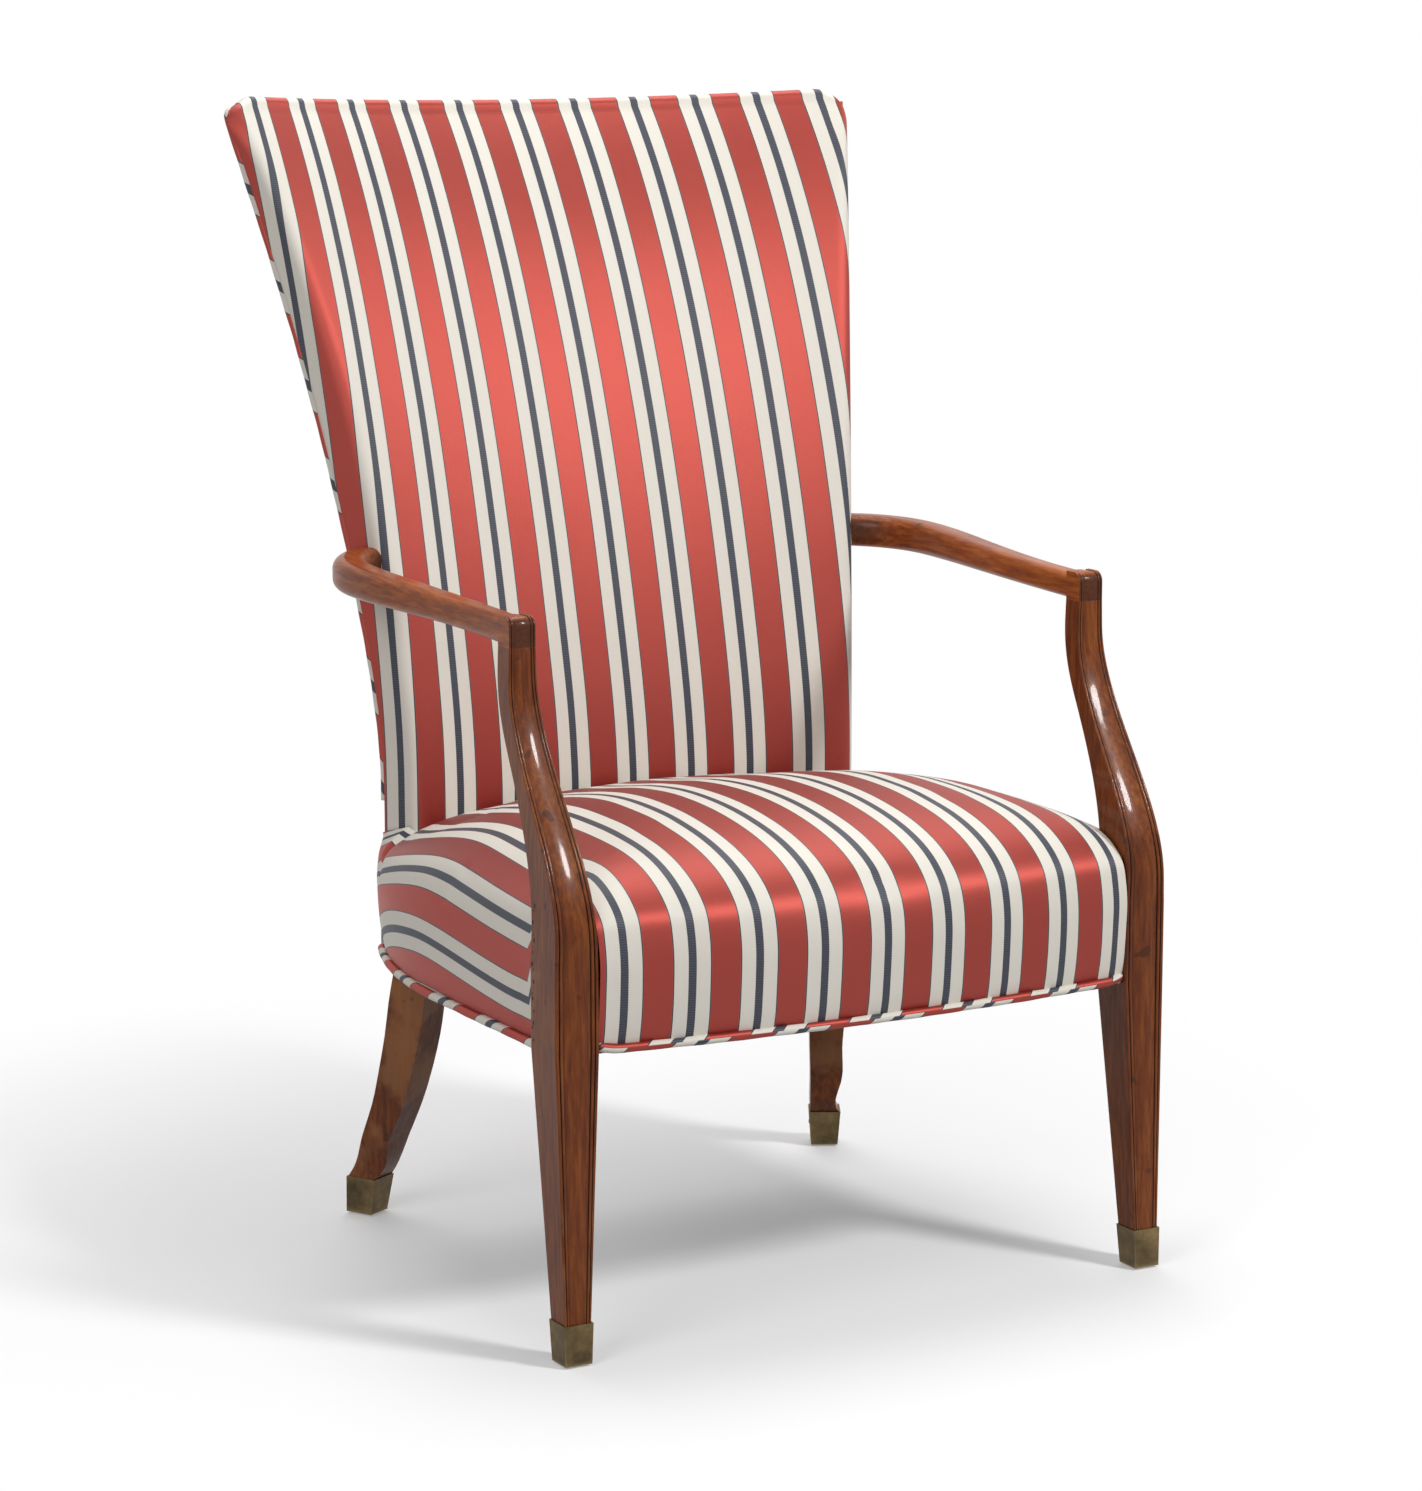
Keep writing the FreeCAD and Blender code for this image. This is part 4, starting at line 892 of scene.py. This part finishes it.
def back_side_point(level, rolled, lift, top, near_crest, kind, sign, step):
    """A point on the rounded edge, the side or the turned-in rim of the back."""
    rim = thinned(level, RIM)
    outer = 1.0
    if kind == "turn":
        reach = barrel_reach(level, 0, BACK_CORNER + top)
        inset = BACK_CORNER * (1 - step) ** 2 + top
        depth = reach * (1 - step) ** 2 + BACK_CORNER * step ** 2
        outer = step
    elif kind == "side":
        inset = top
        depth = BACK_CORNER + max(0.0, rim - BACK_CORNER) * step
    else:
        inset = top + RIM_TURN
        depth = max(rim, BACK_CORNER)
    depth = min(depth + rolled, max(rim, depth))
    x, y = canted(level, depth, inset)
    rounding = SHOULDER_DROP / 2 + SIDE_DROP * outer ** 1.5
    z = dish(level, y) + lift * (1 - SIDE_LIFT_LOSS * outer) - near_crest * rounding
    return sign * x, y, z


def back_piece():
    rows = back_rows()
    columns = back_columns()
    points = np.zeros((len(rows), len(columns), 3))
    for r, (level, angle) in enumerate(rows):
        rolled = CREST_RADIUS * (1 - math.cos(angle))
        lift = CREST_RADIUS * math.sin(angle)
        top = CREST_TURN_IN * max(0.0, (level + lift - TURN_IN_START) / (CREST - TURN_IN_START)) ** 2
        near_crest = float(smooth((level - SHOULDER_START) / (CREST - CREST_RADIUS - SHOULDER_START)))
        for c, (kind, sign, value) in enumerate(columns):
            if kind == "front":
                points[r, c] = back_front_point(level, rolled, lift, BACK_CORNER + top, near_crest, value)
            else:
                points[r, c] = back_side_point(level, rolled, lift, top, near_crest, kind, sign, value)
    piece = grid_piece("back_upholstery", points, even_weave(points))
    piece.data.materials.append(SATIN)
    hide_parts("inside_back_cover", "back_stuffing")
    return piece


# Flat cloths: the rear panel and the dust cloth

PANEL_ROWS = 70
PANEL_COLUMNS = 61
DUST_STEPS = 31


def outside_back():
    rows = []
    for level in np.linspace(PANEL_BOTTOM, CREST - PANEL_DROP, PANEL_ROWS):
        depth = RIM + PANEL_GAP
        inset = PANEL_INSET - PANEL_WIDENING * smooth((PANEL_FOOT - level) / PANEL_FOOT_RISE)
        edge = canted(level, barrel_reach(level, depth, inset), inset)
        rows.append(barrel_row(level, depth, edge[0], np.linspace(-1, 1, PANEL_COLUMNS)))
    points = np.array(rows)
    piece = grid_piece("outside_back", points, even_weave(points), flip=True)
    piece.data.materials.append(SATIN)
    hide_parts("outside_back_cover")


def dust_cloth():
    shares = np.linspace(-1, 1, DUST_STEPS)
    rows = np.linspace(0, 1, DUST_STEPS)
    points = np.zeros((len(rows), len(shares), 3))
    for r, row in enumerate(rows):
        y_middle = DUST_START_Y + DUST_LENGTH * row
        half = DUST_NOTCH_HALF if y_middle < DUST_NOTCH_Y else side_line(y_middle) - DUST_INSET
        for c, share in enumerate(shares):
            x = half * share
            start = front_line(x) + DUST_INSET
            end = rear_line(min(abs(x), DUST_REAR_HALF)) - DUST_REAR_GAP
            sag = DUST_SAG * (1 - share ** 2) * math.sin(math.pi * row)
            points[r, c] = (x, start + (end - start) * row, DUST_LEVEL - sag)
    piece = grid_piece("dust_cloth", points, even_weave(points), flip=True)
    piece.data.materials.append(CAMBRIC)
    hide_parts("dust_cover")


# Welts

def eased_path(points, width):
    """The path at even steps, with its corners rounded over a width."""
    points = np.asarray(points, float)
    run = run_along(points)
    even = at_lengths(points, run, np.arange(0, run[-1], WELT_STEP))
    result = even.copy()
    for index in range(len(even)):
        reach = min(index, len(even) - 1 - index, int(2.5 * width / WELT_STEP))
        near = np.arange(index - reach, index + reach + 1)
        weight = np.exp(-0.5 * ((near - index) * WELT_STEP / width) ** 2)
        result[index] = (even[near] * weight[:, None]).sum(axis=0) / weight.sum()
    return result


def seat_piping():
    front = []
    for x in np.linspace(-WELT_HALF, WELT_HALF, LONG_RUN_POINTS):
        end = max(0.0, (abs(x) - WELT_END) / WELT_END_LENGTH)
        y = front_line(x) + WELT_INSET + WELT_END_BACK * end ** 2
        front.append((x, y, WELT_LEVEL + WELT_END_RISE * end ** 2))
    runs = [front]
    for sign in (-1, 1):
        depths = np.linspace(*WELT_SIDE_Y, SHORT_RUN_POINTS)
        runs.append([(sign * (side_line(y) - WELT_INSET), y, WELT_LEVEL) for y in depths])
    piece = tube_piece("seat_piping", runs, WELT_RADIUS)
    piece.data.materials.append(BIAS)
    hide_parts("seat_welt")


def back_piping():
    depth = RIM + BACK_WELT_GAP + WELT_RADIUS
    top = CREST - BACK_WELT_DROP
    right = []
    for z in np.linspace(SEAT_LINE - BACK_WELT_START, top, LONG_RUN_POINTS):
        x, y = canted(z, barrel_reach(z, depth, BACK_WELT_INSET), BACK_WELT_INSET)
        right.append((x, y, dish(z, y)))
    crest = barrel_row(top, depth, right[-1][0], np.linspace(1, -1, SHORT_RUN_POINTS)[1:-1])
    left = [(-x, y, z) for x, y, z in right]
    whole = eased_path(right + crest + left[::-1], WELT_CORNER)
    piece = tube_piece("back_piping", [whole], WELT_RADIUS)
    piece.data.materials.append(BIAS)
    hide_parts("back_welt")


def tack_holes():
    """Old tack holes on the left front post's outer face, beside the edge of the cloth."""
    post = NODES["front_post_left"].data
    tree = BVHTree.FromPolygons([vertex.co for vertex in post.vertices],
                                [list(polygon.vertices) for polygon in post.polygons])
    vertices = []
    faces = []
    for hole in range(HOLE_COUNT):
        # Sines of the hole's number make the row uneven in the same way each run
        y = HOLE_Y + 1.7 * math.sin(1.7 * hole)
        z = HOLE_START + HOLE_PITCH * hole + 2.6 * math.sin(2.1 * hole)
        radius = (HOLE_RADIUS + 0.4 * math.sin(3.3 * hole)) / 1000
        outside = Vector(to_metres((OUTSIDE_X, y, z)))
        place, normal, _, _ = tree.ray_cast(outside, Vector((1.0, 0.0, 0.0)))
        turn = normal.to_track_quat("Z", "Y")
        base = len(vertices)
        for step in range(HOLE_SIDES):
            angle = 2 * math.pi * step / HOLE_SIDES
            wide = radius * math.cos(angle)
            long = HOLE_LENGTHENING * radius * math.sin(angle)
            rim = Vector((wide, long, HOLE_PROUD / 1000))
            vertices.append(tuple(place + turn @ rim))
        faces.append(tuple(range(base, base + HOLE_SIDES)))
    mesh = bpy.data.meshes.new("tack_holes")
    mesh.from_pydata(vertices, [], faces)
    mesh.materials.append(HOLE)
    piece = riding("tack_holes", mesh)


# Stuffing

def stuffed(piece, start_in, cap):
    """Blows a padded cover up from a slightly smaller shape, held along its edges.

    Only the relief about the wanted shape is kept: the median of the outward movement is taken out,
    and the rest is capped.
    """
    mesh = piece.data
    count = len(mesh.vertices)
    wanted = np.array([vertex.co[:] for vertex in mesh.vertices])
    normals = np.array([vertex.normal[:] for vertex in mesh.vertices])
    uses = {}
    for polygon in mesh.polygons:
        for key in polygon.edge_keys:
            uses[key] = uses.get(key, 0) + 1
    rim = sorted({index for key, number in uses.items() if number == 1 for index in key})
    distance = np.full(count, 1.0)
    distance[rim] = 0.0
    edges = np.array(list(uses.keys()))
    lengths = np.linalg.norm(wanted[edges[:, 0]] - wanted[edges[:, 1]], axis=1)
    for _ in range(SPREAD_ROUNDS):
        np.minimum.at(distance, edges[:, 0], distance[edges[:, 1]] + lengths)
        np.minimum.at(distance, edges[:, 1], distance[edges[:, 0]] + lengths)
    free = smooth(distance / HELD_BAND)
    start = wanted - normals * (start_in * free)[:, None]
    mesh.vertices.foreach_set("co", start.ravel())
    mesh.update()
    held = piece.vertex_groups.new(name="held")
    held.add(rim, 1.0, "REPLACE")
    cloth = piece.modifiers.new("cloth", "CLOTH")
    settings = cloth.settings
    settings.quality = 6
    settings.mass = 0.3
    settings.tension_stiffness = 60
    settings.compression_stiffness = 60
    settings.shear_stiffness = 30
    settings.bending_stiffness = 4
    settings.air_damping = 4
    settings.use_pressure = True
    settings.uniform_pressure_force = STUFFING_PRESSURE
    settings.effector_weights.gravity = 0
    settings.vertex_group_mass = "held"
    cloth.point_cache.frame_start = 1
    cloth.point_cache.frame_end = LAST_FRAME
    scene = bpy.context.scene
    for moment in range(1, LAST_FRAME + 1):
        scene.frame_set(moment)
    result = piece.evaluated_get(bpy.context.evaluated_depsgraph_get())
    moved = np.array([vertex.co[:] for vertex in result.data.vertices])
    piece.modifiers.remove(cloth)
    piece.vertex_groups.remove(held)
    scene.frame_set(1)
    way = moved - start
    out = (way * normals).sum(axis=1)
    slip = way - normals * out[:, None]
    out = np.clip(out - np.median(out[free > 0.9]), -cap, cap) * free
    slipped = np.linalg.norm(slip, axis=1)
    slip *= (np.minimum(slipped, cap) / np.maximum(slipped, 1e-9) * free)[:, None]
    final = wanted + normals * out[:, None] + slip
    mesh.vertices.foreach_set("co", final.ravel())
    mesh.update()


stuffed(seat_piece(), *SEAT_STUFFING)
stuffed(back_piece(), *BACK_STUFFING)
outside_back()
dust_cloth()
seat_piping()
back_piping()
tack_holes()


# Floor, light and camera

def floor_piece():
    mesh = bpy.data.meshes.new("floor")
    corners = [(x * FLOOR_HALF, y * FLOOR_HALF, 0) for x, y in ((-1, -1), (1, -1), (1, 1), (-1, 1))]
    mesh.from_pydata(corners, [], [(0, 1, 2, 3)])
    piece = bpy.data.objects.new("floor", mesh)
    bpy.context.collection.objects.link(piece)
    shade = Shader("floor_paper")
    light_path = shade.add("ShaderNodeLightPath")
    seen = shade.math("MAXIMUM", light_path.outputs["Is Camera Ray"], light_path.outputs["Is Glossy Ray"])
    seen = shade.math("MAXIMUM", seen, light_path.outputs["Is Transmission Ray"])
    paper = shade.mix(seen, FLOOR_BOUNCE, FLOOR_PAPER)
    shade.set(Base_Color=paper, Roughness=0.9)
    coordinates = shade.add("ShaderNodeTexCoord")
    offset = shade.add("ShaderNodeVectorMath", operation="DISTANCE")
    shade.links.new(coordinates.outputs["Object"], offset.inputs[0])
    offset.inputs[1].default_value = WHITE_MIDDLE
    far = shade.step(offset.outputs["Value"], *WHITE_EDGE)
    white = shade.add("ShaderNodeEmission")
    white.inputs["Color"].default_value = (1, 1, 1, 1)
    share = shade.math("MULTIPLY", seen, shade.math("MULTIPLY_ADD", far, 1 - NEAR_WHITE, NEAR_WHITE))
    mix = shade.add("ShaderNodeMixShader")
    shade.links.new(share, mix.inputs[0])
    shade.links.new(shade.surface.outputs[0], mix.inputs[1])
    shade.links.new(white.outputs[0], mix.inputs[2])
    shade.links.new(mix.outputs[0], shade.nodes["Material Output"].inputs["Surface"])
    mesh.materials.append(shade.material)


def lamp(name, place, target, size, power):
    data = bpy.data.lights.new(name, "AREA")
    data.shape = "DISK"
    data.size = size
    data.energy = power
    piece = bpy.data.objects.new(name, data)
    bpy.context.collection.objects.link(piece)
    piece.location = place
    way = Vector(target) - Vector(place)
    piece.rotation_euler = way.to_track_quat("-Z", "Y").to_euler()


def world_light(strength):
    world = bpy.data.worlds.new("studio")
    bpy.context.scene.world = world
    world.use_nodes = True
    nodes = world.node_tree.nodes
    links = world.node_tree.links
    background = nodes["Background"]
    background.inputs["Color"].default_value = (1, 1, 1, 1)
    background.inputs["Strength"].default_value = strength
    white = nodes.new("ShaderNodeBackground")
    white.inputs["Color"].default_value = (1, 1, 1, 1)
    white.inputs["Strength"].default_value = 1.0
    light_path = nodes.new("ShaderNodeLightPath")
    seen = light_path.outputs["Is Camera Ray"]
    for kind in ("Is Glossy Ray", "Is Transmission Ray"):
        either = nodes.new("ShaderNodeMath")
        either.operation = "MAXIMUM"
        links.new(seen, either.inputs[0])
        links.new(light_path.outputs[kind], either.inputs[1])
        seen = either.outputs[0]
    mix = nodes.new("ShaderNodeMixShader")
    links.new(seen, mix.inputs[0])
    links.new(background.outputs[0], mix.inputs[1])
    links.new(white.outputs[0], mix.inputs[2])
    links.new(mix.outputs[0], nodes["World Output"].inputs["Surface"])


def camera():
    data = bpy.data.cameras.new("camera")
    data.sensor_fit = "VERTICAL"
    data.sensor_height = SENSOR
    data.lens = PHOTO_FOCAL / PHOTO_HEIGHT * SENSOR
    data.clip_end = 100.0
    piece = bpy.data.objects.new("camera", data)
    bpy.context.collection.objects.link(piece)
    place = to_metres(CAMERA_PLACE)
    ahead = Vector(CAMERA_AHEAD).normalized()
    right = ahead.cross(Vector((0, 0, 1))).normalized()
    up = right.cross(ahead)
    turn = Matrix((right, up, -ahead)).transposed()
    piece.matrix_world = Matrix.Translation(Vector(place)) @ turn.to_4x4()
    bpy.context.scene.camera = piece


floor_piece()
lamp("key", place=(1.6, -2.8, 3.05), target=(0.0, 0.05, 0.6), size=0.7, power=104.0)
lamp("fill_left", place=(-2.8, -1.6, 2.2), target=(0.0, 0.0, 0.6), size=2.0, power=36.0)
lamp("top", place=(0.3, 0.8, 3.1), target=(0.0, 0.0, 0.4), size=2.2, power=52.0)
world_light(strength=0.22)
camera()
bpy.context.scene.view_settings.view_transform = "Standard"
